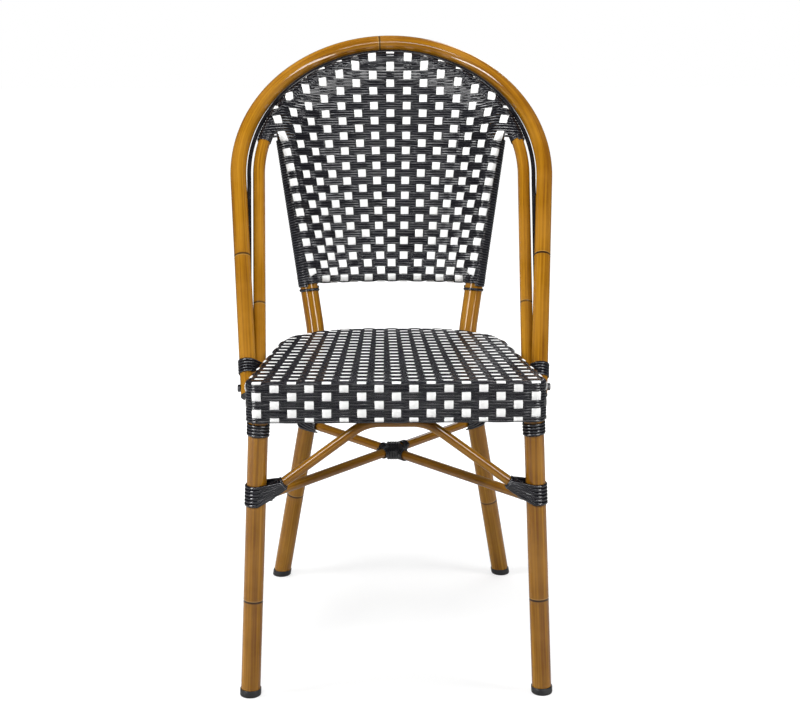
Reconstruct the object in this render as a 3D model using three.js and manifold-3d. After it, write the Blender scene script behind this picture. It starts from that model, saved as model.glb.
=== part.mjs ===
// Rattan bistro chair: an aluminium tube frame finished like bamboo, a woven seat and a woven back.
// Millimetres. X runs to the right of someone facing the chair, Y from its front to its back, Z up.
// Y is 0 in the plane of the front legs while the pieces are made; the finished chair is then centred.
import * as THREE from 'three';
import { mergeVertices } from 'three/addons/utils/BufferGeometryUtils.js';
import Module from 'manifold-3d';

const wasm = await Module();
wasm.setup();

// Fits
const FIT_GAP = 0.3;
const OVERRUN = 8;
const ROUNDING = 1e-6;

// Whole chair
const CHAIR_HEIGHT = 890;

// Seat: a tapered plan with round rear corners, sloping down to the back
const SEAT_FRONT_HEIGHT = 461;
const SEAT_DROP = 19;
const SEAT_DEPTH = 419;
const SEAT_FRONT_WIDTH = 413;
const SEAT_REAR_WIDTH = 317;
const SEAT_FRONT_RADIUS = 18;
const SEAT_REAR_RADIUS = 135;
const SEAT_OVERHANG = 19;
const APRON_HEIGHT = 57;
const APRON_EDGE_CHAMFER = 2.4;
const SEAT_WEAVE_THICKNESS = 3.2;
const SEAT_STRANDS = 17;
const SIDE_STRANDS = 12;
const SIDE_STRANDS_END_SHARE = 0.85;
const STRAND_WIDTH = 12;
const STRAND_RELIEF = 0.8;
const SEAT_TUBE_WIDTH = 16;
const SEAT_TUBE_WALL = 2;
const SEAT_FRONT_RAIL_LENGTH = 300;
const CROSS_BAR_WIDTH = 25;
const CROSS_BAR_THICKNESS = 6;
const CROSS_BAR_DEPTH_SHARES = [0.5, 0.98];

// Legs: the rear ones run on above the seat as the posts of the back
const LEG_DIAMETER = 28;
const LEG_WALL = 2;
const FRONT_LEG_SIDE_INSET = 19.5;
const FRONT_LEG_SPLAY = 21.68;
const REAR_FOOT_HALF_SPREAD = 184.5;
const REAR_FOOT_DEPTH = 476;
const REAR_LEG_BEND_RADIUS = 150;
const REAR_LEG_SEAT_ANGLE = 57;
const REAR_LEG_REACH_BELOW = 10;
const REAR_LEG_REACH_ABOVE = 5;
const POST_TOP_ANGLE = 33;

// Foot caps
const CAP_HEIGHT = 11;
const CAP_RIM = 1;
const CAP_PLUG_LENGTH = 14;
const CAP_SOLE_CHAMFER = 3;

// Arches: an outer and an inner hoop that lean back, with a cane between them
const OUTER_ARCH_DIAMETER = 25;
const INNER_ARCH_DIAMETER = 19;
const ARCH_WALL = 2;
const OUTER_ARCH_RADIUS = 236;
const OUTER_ARCH_LEAN = 39;
const ARCH_FOOT_BELOW_SEAT = 63;
const OUTER_ARCH_FOOT_DEPTH = 151;
const ARCH_STANDOFF = 10.4;
const ARCH_TUBE_GAP = 0.3;
const CANE_DIAMETER = 6.4;

// Arch ends: plugs, and the bolts that hold the outer arch to the seat
const END_PLUG_THICKNESS = 3;
const END_PLUG_LENGTH = 5;
const ARCH_BOLT_ABOVE_FOOT = 9;
const BOLT_DIAMETER = 6;
const BOLT_HEAD_DIAMETER = 11;
const BOLT_HEAD_HEIGHT = 4;
const BOLT_END_REACH = 7;
const SPACER_DIAMETER = 11;

// Back panel
const BACK_RAIL_ABOVE_SEAT = 80;
const BACK_RAIL_DIAMETER = 16;
const BACK_RAIL_WALL = 1.6;
const BACK_BOW = 20;
const BACK_WEAVE_THICKNESS = 3.2;
const BACK_STRANDS = 15;
const BACK_STRAND_SPREAD_SHARES = [0.958, 1.06];
const WRAP_THICKNESS = 1.8;
const EAR_START_SHARE = 0.45;

// Braces between the legs
const BRACE_DIAMETER = 14;
const BRACE_WALL = 1.6;
const FRONT_BRACE_FOOT_BELOW_SEAT = 175;
const FRONT_BRACE_SHOULDER_HALF_SPREAD = 42;
const FRONT_BRACE_BEND_RADIUS = 60;
const CROSS_BRACE_FRONT_BELOW_SEAT = 170;
const CROSS_BRACE_REAR_BELOW_SEAT = 173.5;
const CROSS_BRACE_DROP = 3.5;

// Windings of flat strip that dress the joints
const STRIP_WIDTH = 3.9;
const STRIP_THICKNESS = 1.2;
const STRIP_GAP = 0.5;
const HALF_TURN = 0.5;
const QUARTER_TURN = 0.25;
const ARCH_WINDING_TURNS = 5;
const ARCH_WINDING_ABOVE_FOOT = 20;
const LEG_TOP_WINDING_TURNS = 4;
const LEG_BRACE_TURNS_BELOW = 3;
const LEG_BRACE_TURNS_ABOVE = 2;
const FRONT_BRACE_WINDING_TURNS = 5;
const REAR_LEG_TURNS_EACH_SIDE = 2;
const CROSSING_TURNS_EACH_SIDE = 3;
const BACK_CORNER_WINDING_TURNS = 1;

// Facets
const TUBE_SIDES = 12;
const SMALL_TUBE_SIDES = 10;
const BORE_SIDES = 8;
const CANE_SIDES = 6;
const ARCH_STEPS = 18;
const CANE_LEG_STEPS = 4;
const LEG_BEND_STEPS = 2;
const BRACE_BEND_STEPS = 3;
const FRONT_CORNER_STEPS = 3;
const REAR_CORNER_STEPS = 7;
const RAIL_STEPS = 8;
const PANEL_COLUMNS = 6;
const PANEL_LOWER_ROWS = 3;
const LATHE_STEPS = 12;
const TURN_STEPS = 12;
const SMALL_TURN_STEPS = 10;
const OVAL_TURN_STEPS = 16;

// Worked out from the sizes above
const LEG_RADIUS = LEG_DIAMETER / 2;
const OUTER_ARCH_TUBE_RADIUS = OUTER_ARCH_DIAMETER / 2;
const INNER_ARCH_TUBE_RADIUS = INNER_ARCH_DIAMETER / 2;
const CANE_RADIUS = CANE_DIAMETER / 2;
const BRACE_RADIUS = BRACE_DIAMETER / 2;
const BACK_RAIL_RADIUS = BACK_RAIL_DIAMETER / 2;
const STRIP_PITCH = STRIP_WIDTH + STRIP_GAP;
const SEAT_REAR_HEIGHT = SEAT_FRONT_HEIGHT - SEAT_DROP;
const ARCH_FOOT_HEIGHT = SEAT_FRONT_HEIGHT - ARCH_FOOT_BELOW_SEAT;
const ARCH_BOLT_HEIGHT = ARCH_FOOT_HEIGHT + ARCH_BOLT_ABOVE_FOOT;
const ARCH_WINDING_HEIGHT = ARCH_FOOT_HEIGHT + ARCH_WINDING_ABOVE_FOOT;
const BACK_RAIL_HEIGHT = SEAT_REAR_HEIGHT + BACK_RAIL_ABOVE_SEAT;
const FRONT_BRACE_FOOT_HEIGHT = SEAT_FRONT_HEIGHT - FRONT_BRACE_FOOT_BELOW_SEAT;
const CROSS_BRACE_FRONT_HEIGHT = SEAT_FRONT_HEIGHT - CROSS_BRACE_FRONT_BELOW_SEAT;
const CROSS_BRACE_REAR_HEIGHT = SEAT_FRONT_HEIGHT - CROSS_BRACE_REAR_BELOW_SEAT;
const SEAT_TAPER = (SEAT_FRONT_WIDTH - SEAT_REAR_WIDTH) / 2 / SEAT_DEPTH;
const SEAT_SIDE_COSINE = Math.cos(Math.atan(SEAT_TAPER));
const SEAT_SLOPE = Math.atan(SEAT_DROP / SEAT_DEPTH);
const SEAT_TUBE_INSET = SEAT_WEAVE_THICKNESS + FIT_GAP;
const SEAT_TUBE_INNER_INSET = SEAT_TUBE_INSET + SEAT_TUBE_WIDTH;
const SEAT_TUBE_TOP = -SEAT_WEAVE_THICKNESS - FIT_GAP;
const SEAT_LIP_TOP = -APRON_HEIGHT + SEAT_WEAVE_THICKNESS;
const SEAT_TUBE_BOTTOM = SEAT_LIP_TOP + FIT_GAP;

// Seat coordinates: the origin is the middle of the front edge, on top of the weave
const seatMatrix = new THREE.Matrix4()
  .makeTranslation(0, -SEAT_OVERHANG, SEAT_FRONT_HEIGHT)
  .multiply(new THREE.Matrix4().makeRotationX(-SEAT_SLOPE));
const seatInverse = seatMatrix.clone().invert();

// Solids

function toSolid(geometry) {
  const bare = new THREE.BufferGeometry();
  bare.setAttribute('position', geometry.getAttribute('position').clone());
  if (geometry.index) {
    bare.setIndex(geometry.index.clone());
  }
  const merged = mergeVertices(bare);
  return new wasm.Manifold(new wasm.Mesh({
    numProp: 3,
    vertProperties: new Float32Array(merged.getAttribute('position').array),
    triVerts: new Uint32Array(merged.index.array),
  }));
}

function toGeometry(solid) {
  const mesh = solid.getMesh();
  const geometry = new THREE.BufferGeometry();
  geometry.setAttribute('position', new THREE.BufferAttribute(new Float32Array(mesh.vertProperties), 3));
  geometry.setIndex(new THREE.BufferAttribute(new Uint32Array(mesh.triVerts), 1));
  return geometry;
}

function cut(geometry, ...cutters) {
  const solid = cutters.reduce((left, cutter) => left.subtract(toSolid(cutter)), toSolid(geometry));
  return toGeometry(solid);
}

function join(...geometries) {
  const solids = geometries.map(toSolid);
  return toGeometry(solids.reduce((whole, solid) => whole.add(solid)));
}

function common(first, second) {
  return toGeometry(toSolid(first).intersect(toSolid(second)));
}

// A copy on the other side of the chair's middle plane, with its faces still pointing out
function mirrored(geometry) {
  const copy = geometry.clone().applyMatrix4(new THREE.Matrix4().makeScale(-1, 1, 1));
  if (!copy.index) {
    copy.setIndex([...Array(copy.getAttribute('position').count).keys()]);
  }
  const index = copy.index.array;
  for (let i = 0; i < index.length; i += 3) {
    [index[i], index[i + 1]] = [index[i + 1], index[i]];
  }
  return copy;
}

// Triangles that close one end of a ring: a fan, or for a thin slab quads from its front to its back
function fanFaces(sides) {
  return Array(sides - 2).fill().map((_, i) => [0, i + 2, i + 1]);
}

function slabFaces(sides) {
  const faces = [];
  for (let s = 0; s < sides / 2 - 1; s += 1) {
    faces.push([s, sides - 1 - s, sides - 2 - s], [s, sides - 2 - s, s + 1]);
  }
  return faces;
}

// Closed mesh from rings of points that all have as many corners
function ringSolid(rings, endFaces = fanFaces) {
  const sides = rings[0].length;
  const last = (rings.length - 1) * sides;
  const faces = endFaces(sides).flatMap(([a, b, c]) => [a, b, c, last + a, last + c, last + b]);
  for (let r = 0; r < rings.length - 1; r += 1) {
    for (let s = 0; s < sides; s += 1) {
      const a = r * sides + s;
      const b = r * sides + ((s + 1) % sides);
      faces.push(a, b, b + sides, a, b + sides, a + sides);
    }
  }
  const positions = rings.flat().flatMap((point) => point.toArray());
  const geometry = new THREE.BufferGeometry();
  geometry.setAttribute('position', new THREE.Float32BufferAttribute(positions, 3));
  geometry.setIndex(faces);
  return facingOut(geometry);
}

// Turns every face round if the mesh encloses a negative volume
function facingOut(geometry) {
  const position = geometry.getAttribute('position');
  const index = geometry.index.array;
  const corner = (i) => new THREE.Vector3().fromBufferAttribute(position, index[i]);
  let volume = 0;
  for (let i = 0; i < index.length; i += 3) {
    volume += corner(i).dot(corner(i + 1).cross(corner(i + 2)));
  }
  if (volume < 0) {
    for (let i = 0; i < index.length; i += 3) {
      [index[i], index[i + 1]] = [index[i + 1], index[i]];
    }
  }
  return geometry;
}

// Paths and tubes

// A path through listed places, so that each ring of a tube lies exactly where a place is
class StationPath extends THREE.Curve {
  constructor(stations) {
    super();
    this.stations = stations;
    this.steps = stations.length - 1;
  }

  getPoint(t) {
    const along = t * this.steps;
    const before = Math.min(Math.floor(along + ROUNDING), this.steps - 1);
    return this.stations[before].clone().lerp(this.stations[before + 1], along - before);
  }

  getUtoTmapping(u) {
    return u;
  }

  getTangent(t) {
    const here = Math.round(t * this.steps);
    const runs = [[here - 1, here], [here, here + 1]].filter(([a, b]) => a >= 0 && b <= this.steps);
    const tangent = new THREE.Vector3();
    for (const [a, b] of runs) {
      tangent.add(this.stations[b].clone().sub(this.stations[a]).normalize());
    }
    return tangent.normalize();
  }
}

function circle(radius, sides) {
  const points = [];
  for (let i = 0; i < sides; i += 1) {
    const angle = (2 * Math.PI * (i + 0.5)) / sides;
    points.push(new THREE.Vector2(radius * Math.cos(angle), radius * Math.sin(angle)));
  }
  return points;
}

function rod(stations, radius, sides = TUBE_SIDES) {
  const path = new StationPath(stations);
  const section = new THREE.Shape(circle(radius, sides));
  return new THREE.ExtrudeGeometry(section, { steps: path.steps, extrudePath: path, bevelEnabled: false });
}

function tube(stations, radius, wall, sides = TUBE_SIDES) {
  const path = new StationPath(stations);
  const section = new THREE.Shape(circle(radius, sides));
  section.holes.push(new THREE.Path(circle(radius - wall, BORE_SIDES)));
  return new THREE.ExtrudeGeometry(section, { steps: path.steps, extrudePath: path, bevelEnabled: false });
}

// Space that a rod or tube needs round itself, to be cut from a neighbour. Its flats stand outside the
// circle of the wanted clearance.
function envelope(stations, radius, sides = TUBE_SIDES) {
  return rod(stations, (radius + FIT_GAP) / Math.cos(Math.PI / sides), sides);
}

// Rounds one corner of a path with an arc, given as steps + 1 places
function roundedCorner(before, corner, after, radius, steps) {
  const back = before.clone().sub(corner).normalize();
  const ahead = after.clone().sub(corner).normalize();
  const halfAngle = back.angleTo(ahead) / 2;
  const centre = back.clone().add(ahead).normalize().multiplyScalar(radius / Math.sin(halfAngle)).add(corner);
  const reach = radius / Math.tan(halfAngle);
  const start = back.multiplyScalar(reach).add(corner).sub(centre);
  const end = ahead.multiplyScalar(reach).add(corner).sub(centre);
  const sweep = start.angleTo(end);
  const places = [];
  for (let i = 0; i <= steps; i += 1) {
    const share = i / steps;
    const place = start.clone().multiplyScalar(Math.sin((1 - share) * sweep) / Math.sin(sweep));
    place.addScaledVector(end, Math.sin(share * sweep) / Math.sin(sweep));
    places.push(place.add(centre));
  }
  return places;
}

function prism(points, bottom, top) {
  const shape = new THREE.Shape(points);
  const geometry = new THREE.ExtrudeGeometry(shape, { depth: top - bottom, bevelEnabled: false });
  return geometry.translate(0, 0, bottom);
}

// A lathed piece whose own axis is laid along a direction from a place
function lathed(profile, place, direction) {
  const geometry = new THREE.LatheGeometry(profile, LATHE_STEPS);
  geometry.applyQuaternion(new THREE.Quaternion().setFromUnitVectors(new THREE.Vector3(0, 1, 0), direction));
  return geometry.translate(place.x, place.y, place.z);
}

// Seat

const rearCornerRun = SEAT_DEPTH - SEAT_REAR_RADIUS;

function seatHalfWidth(depth) {
  return SEAT_FRONT_WIDTH / 2 - SEAT_TAPER * depth;
}

// Plan of the seat, drawn in by an inset all round
function seatOutline(inset) {
  const front = { radius: SEAT_FRONT_RADIUS, steps: FRONT_CORNER_STEPS };
  const rear = { radius: SEAT_REAR_RADIUS, steps: REAR_CORNER_STEPS };
  const corner = (side, depth) => {
    const halfWidth = seatHalfWidth(depth) - inset / SEAT_SIDE_COSINE;
    return new THREE.Vector3(side * halfWidth, depth, 0);
  };
  const corners = [
    { at: corner(-1, inset), ...front },
    { at: corner(1, inset), ...front },
    { at: corner(1, SEAT_DEPTH - inset), ...rear },
    { at: corner(-1, SEAT_DEPTH - inset), ...rear },
  ];
  return corners.flatMap(({ at, radius, steps }, i) => {
    const before = corners.at(i - 1).at;
    const after = corners[(i + 1) % corners.length].at;
    const left = radius - inset;
    const places = left > 0 ? roundedCorner(before, at, after, left, steps) : [at];
    return places.map((place) => new THREE.Vector2(place.x, place.y));
  });
}

function seatPlaced(geometry) {
  return geometry.applyMatrix4(seatMatrix);
}

// A box across the whole seat, in seat coordinates
function seatBox(halfWidth, front, rear, bottom, top) {
  const geometry = new THREE.BoxGeometry(2 * halfWidth, rear - front, top - bottom);
  return geometry.translate(0, (front + rear) / 2, (bottom + top) / 2);
}

// Square tube that runs all round under the weave, still in one piece
function seatTube() {
  const outer = prism(seatOutline(SEAT_TUBE_INSET), SEAT_TUBE_BOTTOM, SEAT_TUBE_TOP);
  const inner = prism(
    seatOutline(SEAT_TUBE_INNER_INSET),
    SEAT_TUBE_BOTTOM - OVERRUN,
    SEAT_TUBE_TOP + OVERRUN,
  );
  const boreBottom = SEAT_TUBE_BOTTOM + SEAT_TUBE_WALL;
  const boreTop = SEAT_TUBE_TOP - SEAT_TUBE_WALL;
  const boreOuter = prism(seatOutline(SEAT_TUBE_INSET + SEAT_TUBE_WALL), boreBottom, boreTop);
  const boreInner = prism(
    seatOutline(SEAT_TUBE_INNER_INSET - SEAT_TUBE_WALL),
    boreBottom - OVERRUN,
    boreTop + OVERRUN,
  );
  return cut(outer, inner, cut(boreOuter, boreInner));
}

function frontRailSpace(clearance) {
  return seatBox(
    SEAT_FRONT_RAIL_LENGTH / 2 + clearance,
    -OVERRUN,
    SEAT_TUBE_INNER_INSET + OVERRUN,
    SEAT_TUBE_BOTTOM - OVERRUN,
    SEAT_TUBE_TOP + OVERRUN,
  );
}

function seatHoop() {
  return seatPlaced(cut(seatTube(), frontRailSpace(FIT_GAP)));
}

function seatFrontRail() {
  return seatPlaced(common(seatTube(), frontRailSpace(0)));
}

// Flat bar under the weave, its ends cut to the slant of the side tubes. The bars share out the run
// of the straight sides, in front of the round corners.
function crossBar(depthShare) {
  const depth = depthShare * (rearCornerRun - CROSS_BAR_WIDTH / 2);
  const halfLength = (at) => seatHalfWidth(at) - (SEAT_TUBE_INNER_INSET + FIT_GAP) / SEAT_SIDE_COSINE;
  const front = depth - CROSS_BAR_WIDTH / 2;
  const rear = depth + CROSS_BAR_WIDTH / 2;
  const plan = [
    new THREE.Vector2(-halfLength(front), front),
    new THREE.Vector2(halfLength(front), front),
    new THREE.Vector2(halfLength(rear), rear),
    new THREE.Vector2(-halfLength(rear), rear),
  ];
  return seatPlaced(prism(plan, SEAT_TUBE_TOP - CROSS_BAR_THICKNESS, SEAT_TUBE_TOP));
}

// Outer shape of the seat's weave, drawn in by an inset at its sides and on top
function wovenBlock(inset) {
  return new THREE.ExtrudeGeometry(new THREE.Shape(seatOutline(APRON_EDGE_CHAMFER + inset)), {
    depth: APRON_HEIGHT - inset - 2 * APRON_EDGE_CHAMFER,
    bevelThickness: APRON_EDGE_CHAMFER,
    bevelSize: APRON_EDGE_CHAMFER,
    bevelSegments: 1,
  }).translate(0, 0, APRON_EDGE_CHAMFER - APRON_HEIGHT);
}

// A slab through the whole seat where a flat strand runs from front to back, in step with the taper
function lengthwiseStrand(number) {
  const share = (2 * number - SEAT_STRANDS + 1) / (SEAT_STRANDS + 1 / 2);
  const corner = (depth, side) => {
    const middle = share * seatHalfWidth(depth);
    return new THREE.Vector2(middle + (side * STRAND_WIDTH) / 2, depth);
  };
  const front = -OVERRUN;
  const rear = SEAT_DEPTH + OVERRUN;
  const plan = [corner(front, -1), corner(front, 1), corner(rear, 1), corner(rear, -1)];
  return prism(plan, -APRON_HEIGHT - OVERRUN, OVERRUN);
}

// A slab where a strand stands in the apron on each side of the seat, up to the edge of the top
function sideStrands(number) {
  const share = (number + 1) / (SIDE_STRANDS + 1);
  const depth = THREE.MathUtils.lerp(SEAT_FRONT_RADIUS, SIDE_STRANDS_END_SHARE * SEAT_DEPTH, share);
  const [front, rear] = [depth - STRAND_WIDTH / 2, depth + STRAND_WIDTH / 2];
  return seatBox(SEAT_FRONT_WIDTH, front, rear, -APRON_HEIGHT - OVERRUN, -2 * APRON_EDGE_CHAMFER);
}

function seatStrands() {
  const lengthwise = Array(SEAT_STRANDS).fill().map((_, i) => lengthwiseStrand(i));
  const sides = Array(SIDE_STRANDS).fill().map((_, i) => sideStrands(i));
  return [...lengthwise, ...sides];
}

// The woven cover: a top, an apron and a lip turned in under the tube
function seatWeave(...holes) {
  const weave = join(wovenBlock(STRAND_RELIEF), common(wovenBlock(0), join(...seatStrands())));
  const hollow = prism(seatOutline(SEAT_WEAVE_THICKNESS), SEAT_LIP_TOP, -SEAT_WEAVE_THICKNESS);
  const mouth = prism(seatOutline(SEAT_TUBE_INNER_INSET), -APRON_HEIGHT - OVERRUN, SEAT_LIP_TOP + OVERRUN);
  return cut(seatPlaced(weave), seatPlaced(hollow), seatPlaced(mouth), ...holes);
}

// Everything above a level of the seat, to trim the front legs and the holes for them
function spaceAbove(level) {
  return seatPlaced(seatBox(SEAT_FRONT_WIDTH, -SEAT_DEPTH, SEAT_DEPTH, level, CHAIR_HEIGHT));
}

// Arches

// A hoop in a plane that leans back: a circle on two straight legs that are tangent to it
function hoop(foot, top, radius) {
  const rise = top.clone().sub(new THREE.Vector3(0, foot.y, foot.z));
  const up = rise.clone().normalize();
  const centre = top.clone().addScaledVector(up, -radius);
  const centreRise = rise.length() - radius;
  const legTilt = Math.asin(radius / Math.hypot(foot.x, centreRise)) - Math.atan2(foot.x, centreRise);
  const across = new THREE.Vector3(1, 0, 0);
  const onCircle = (angle) => centre.clone()
    .addScaledVector(across, radius * Math.cos(angle))
    .addScaledVector(up, radius * Math.sin(angle));
  const arc = [];
  for (let i = 0; i <= ARCH_STEPS; i += 1) {
    arc.push(onCircle(-legTilt + ((Math.PI + 2 * legTilt) * i) / ARCH_STEPS));
  }
  const otherFoot = new THREE.Vector3(-foot.x, foot.y, foot.z);
  const legPoint = (height) => {
    const share = (height - foot.z) / (arc[0].z - foot.z);
    return foot.clone().lerp(arc[0], share);
  };
  const legDirection = arc[0].clone().sub(foot).normalize();
  return { foot, otherFoot, top, up, radius, centre, arc, onCircle, legPoint, legDirection };
}

// Foot of an arch's leg, at a distance from the side of the seat
function archFoot(depth, fromSeat) {
  const foot = new THREE.Vector3(0, depth, ARCH_FOOT_HEIGHT);
  const seatDepth = foot.clone().applyMatrix4(seatInverse).y;
  return foot.setX(seatHalfWidth(seatDepth) + fromSeat / SEAT_SIDE_COSINE);
}

const outerLean = THREE.MathUtils.degToRad(OUTER_ARCH_LEAN);
const outerRise = CHAIR_HEIGHT - OUTER_ARCH_TUBE_RADIUS - ARCH_FOOT_HEIGHT;
const outerFromSeat = ARCH_STANDOFF + OUTER_ARCH_TUBE_RADIUS;
const outerHoop = hoop(
  archFoot(OUTER_ARCH_FOOT_DEPTH, outerFromSeat),
  new THREE.Vector3(0, OUTER_ARCH_FOOT_DEPTH + outerRise * Math.tan(outerLean), ARCH_FOOT_HEIGHT + outerRise),
  OUTER_ARCH_RADIUS,
);

// The inner hoop stands behind the outer one at its feet, so far that the two tubes just clear, with
// room for its winding beside the seat. At the top it lies inside the outer one.
const caneToOuter = OUTER_ARCH_TUBE_RADIUS + CANE_RADIUS + 2 * FIT_GAP;
const caneToInner = INNER_ARCH_TUBE_RADIUS + WRAP_THICKNESS + CANE_RADIUS + 2 * FIT_GAP;
const archSpacing = caneToOuter + caneToInner;
const innerFromSeat = windingReach(INNER_ARCH_TUBE_RADIUS, OVAL_TURN_STEPS) + FIT_GAP;
const tubesApart = OUTER_ARCH_TUBE_RADIUS + INNER_ARCH_TUBE_RADIUS + ARCH_TUBE_GAP;
const feetAcross = (outerFromSeat - innerFromSeat) / SEAT_SIDE_COSINE;
const staggerSquare = SEAT_TAPER ** 2 + Math.cos(outerLean) ** 2;
const staggerRoot = (SEAT_TAPER * feetAcross) ** 2 - staggerSquare * (feetAcross ** 2 - tubesApart ** 2);
const archStagger = (Math.sqrt(staggerRoot) - SEAT_TAPER * feetAcross) / staggerSquare;
const innerHoop = hoop(
  archFoot(OUTER_ARCH_FOOT_DEPTH + archStagger, innerFromSeat),
  outerHoop.top.clone().addScaledVector(outerHoop.up, -archSpacing),
  OUTER_ARCH_RADIUS - archSpacing,
);

function hoopStations(shape) {
  return [shape.foot, ...shape.arc, shape.otherFoot];
}

// Place on the leg of a hoop, in the plane across an axis through another place
function acrossFrom(shape, place, axis) {
  const level = place.clone().sub(shape.foot).dot(axis) / shape.legDirection.dot(axis);
  return shape.foot.clone().addScaledVector(shape.legDirection, level);
}

// The cane lies in the front valley between the two tubes, touching the outer one
function canePoint(outer, inner, axis) {
  const apart = inner.clone().sub(outer);
  apart.addScaledVector(axis, -apart.dot(axis));
  const distance = apart.length();
  const along = (distance ** 2 + caneToOuter ** 2 - caneToInner ** 2) / (2 * distance);
  const aside = Math.sqrt(Math.max(caneToOuter ** 2 - along ** 2, 0));
  const unit = apart.normalize();
  return outer.clone().addScaledVector(unit, along).addScaledVector(unit.clone().cross(axis), aside);
}

// It starts above the winding. Along the legs its places crowd towards the top, where the valley
// closes fastest.
function caneStations() {
  const windingLength = ARCH_WINDING_TURNS * STRIP_PITCH + STRIP_WIDTH;
  const start = outerHoop.legPoint(ARCH_WINDING_HEIGHT);
  start.addScaledVector(outerHoop.legDirection, windingLength);
  const leg = [];
  for (let i = 0; i < CANE_LEG_STEPS; i += 1) {
    const share = 1 - (1 - i / CANE_LEG_STEPS) ** 2;
    const place = start.clone().lerp(outerHoop.arc[0], share);
    const inner = acrossFrom(innerHoop, place, outerHoop.legDirection);
    leg.push(canePoint(place, inner, outerHoop.legDirection));
  }
  const path = new StationPath(outerHoop.arc);
  const onArc = (i) => canePoint(outerHoop.arc[i], innerHoop.arc[i], path.getTangent(i / path.steps));
  const half = [...leg, ...Array(ARCH_STEPS / 2).fill().map((_, i) => onArc(i))];
  const otherHalf = half.map((place) => new THREE.Vector3(-place.x, place.y, place.z)).reverse();
  return [...half, onArc(ARCH_STEPS / 2), ...otherHalf];
}

// Legs

const frontLegTopHalfSpread = seatHalfWidth(SEAT_OVERHANG) - FRONT_LEG_SIDE_INSET;
const frontLegTop = new THREE.Vector3(frontLegTopHalfSpread, 0, SEAT_FRONT_HEIGHT);
const frontLegFoot = new THREE.Vector3(frontLegTopHalfSpread + FRONT_LEG_SPLAY, 0, 0);
const frontLegDirection = frontLegTop.clone().sub(frontLegFoot).normalize();

function frontLegPoint(height) {
  return frontLegFoot.clone().addScaledVector(frontLegDirection, height / frontLegDirection.z);
}

// Where the rear leg lies against the seat, on the radius of the seat's round corner
const rearCornerCentre = new THREE.Vector2(
  seatHalfWidth(rearCornerRun) - SEAT_REAR_RADIUS / SEAT_SIDE_COSINE,
  rearCornerRun,
);
const rearLegAngle = THREE.MathUtils.degToRad(REAR_LEG_SEAT_ANGLE);
const rearLegReach = SEAT_REAR_RADIUS + FIT_GAP + LEG_RADIUS;

function rearLegBesideSeat(height) {
  return new THREE.Vector3(
    rearCornerCentre.x + rearLegReach * Math.cos(rearLegAngle),
    rearCornerCentre.y + rearLegReach * Math.sin(rearLegAngle),
    height,
  ).applyMatrix4(seatMatrix);
}

const rearLegFoot = new THREE.Vector3(REAR_FOOT_HALF_SPREAD, REAR_FOOT_DEPTH, 0);
const rearLegKnee = rearLegBesideSeat(-APRON_HEIGHT - REAR_LEG_REACH_BELOW);
const rearLegHip = rearLegBesideSeat(-REAR_LEG_REACH_ABOVE);
const rearLegDirection = rearLegKnee.clone().sub(rearLegFoot).normalize();
const postTop = innerHoop.onCircle(THREE.MathUtils.degToRad(POST_TOP_ANGLE));
const postDirection = postTop.clone().sub(rearLegHip).normalize();

function rearLegPoint(height) {
  return rearLegFoot.clone().addScaledVector(rearLegDirection, height / rearLegDirection.z);
}

function postPoint(height) {
  return rearLegHip.clone().addScaledVector(postDirection, (height - rearLegHip.z) / postDirection.z);
}

function rearLegStations(start, end) {
  return [
    start,
    ...roundedCorner(start, rearLegKnee, rearLegHip, REAR_LEG_BEND_RADIUS, LEG_BEND_STEPS),
    ...roundedCorner(rearLegKnee, rearLegHip, end, REAR_LEG_BEND_RADIUS, LEG_BEND_STEPS),
    end,
  ];
}

function frontLeg() {
  const whole = tube([frontLegPoint(CAP_HEIGHT), frontLegTop], LEG_RADIUS, LEG_WALL);
  return cut(whole, spaceAbove(SEAT_LIP_TOP));
}

function rearLeg() {
  const whole = tube(rearLegStations(rearLegPoint(CAP_HEIGHT), postTop), LEG_RADIUS, LEG_WALL);
  return cut(
    whole,
    envelope(hoopStations(innerHoop), INNER_ARCH_TUBE_RADIUS),
    envelope(caneStations(), CANE_RADIUS, CANE_SIDES),
  );
}

// Radius of a round plug that clears the flats of a tube's bore
function plugRadius(tubeRadius, wall) {
  return (tubeRadius - wall) * Math.cos(Math.PI / BORE_SIDES) - FIT_GAP;
}

// A cap pushed into the foot of a leg, flat where it stands on the floor
function footCap(place, direction) {
  const rim = LEG_RADIUS + CAP_RIM;
  const plug = plugRadius(LEG_RADIUS, LEG_WALL);
  const sole = -CAP_HEIGHT - OVERRUN;
  const profile = [
    new THREE.Vector2(0, sole),
    new THREE.Vector2(rim - CAP_SOLE_CHAMFER, sole),
    new THREE.Vector2(rim - CAP_SOLE_CHAMFER, -CAP_HEIGHT),
    new THREE.Vector2(rim, -CAP_HEIGHT + CAP_SOLE_CHAMFER),
    new THREE.Vector2(rim, -FIT_GAP),
    new THREE.Vector2(plug, -FIT_GAP),
    new THREE.Vector2(plug, CAP_PLUG_LENGTH),
    new THREE.Vector2(0, CAP_PLUG_LENGTH),
  ];
  const floor = new THREE.BoxGeometry(CHAIR_HEIGHT, 2 * CHAIR_HEIGHT, CHAIR_HEIGHT);
  return cut(lathed(profile, place, direction), floor.translate(place.x, place.y, -CHAIR_HEIGHT / 2));
}

// Arch ends

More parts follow.
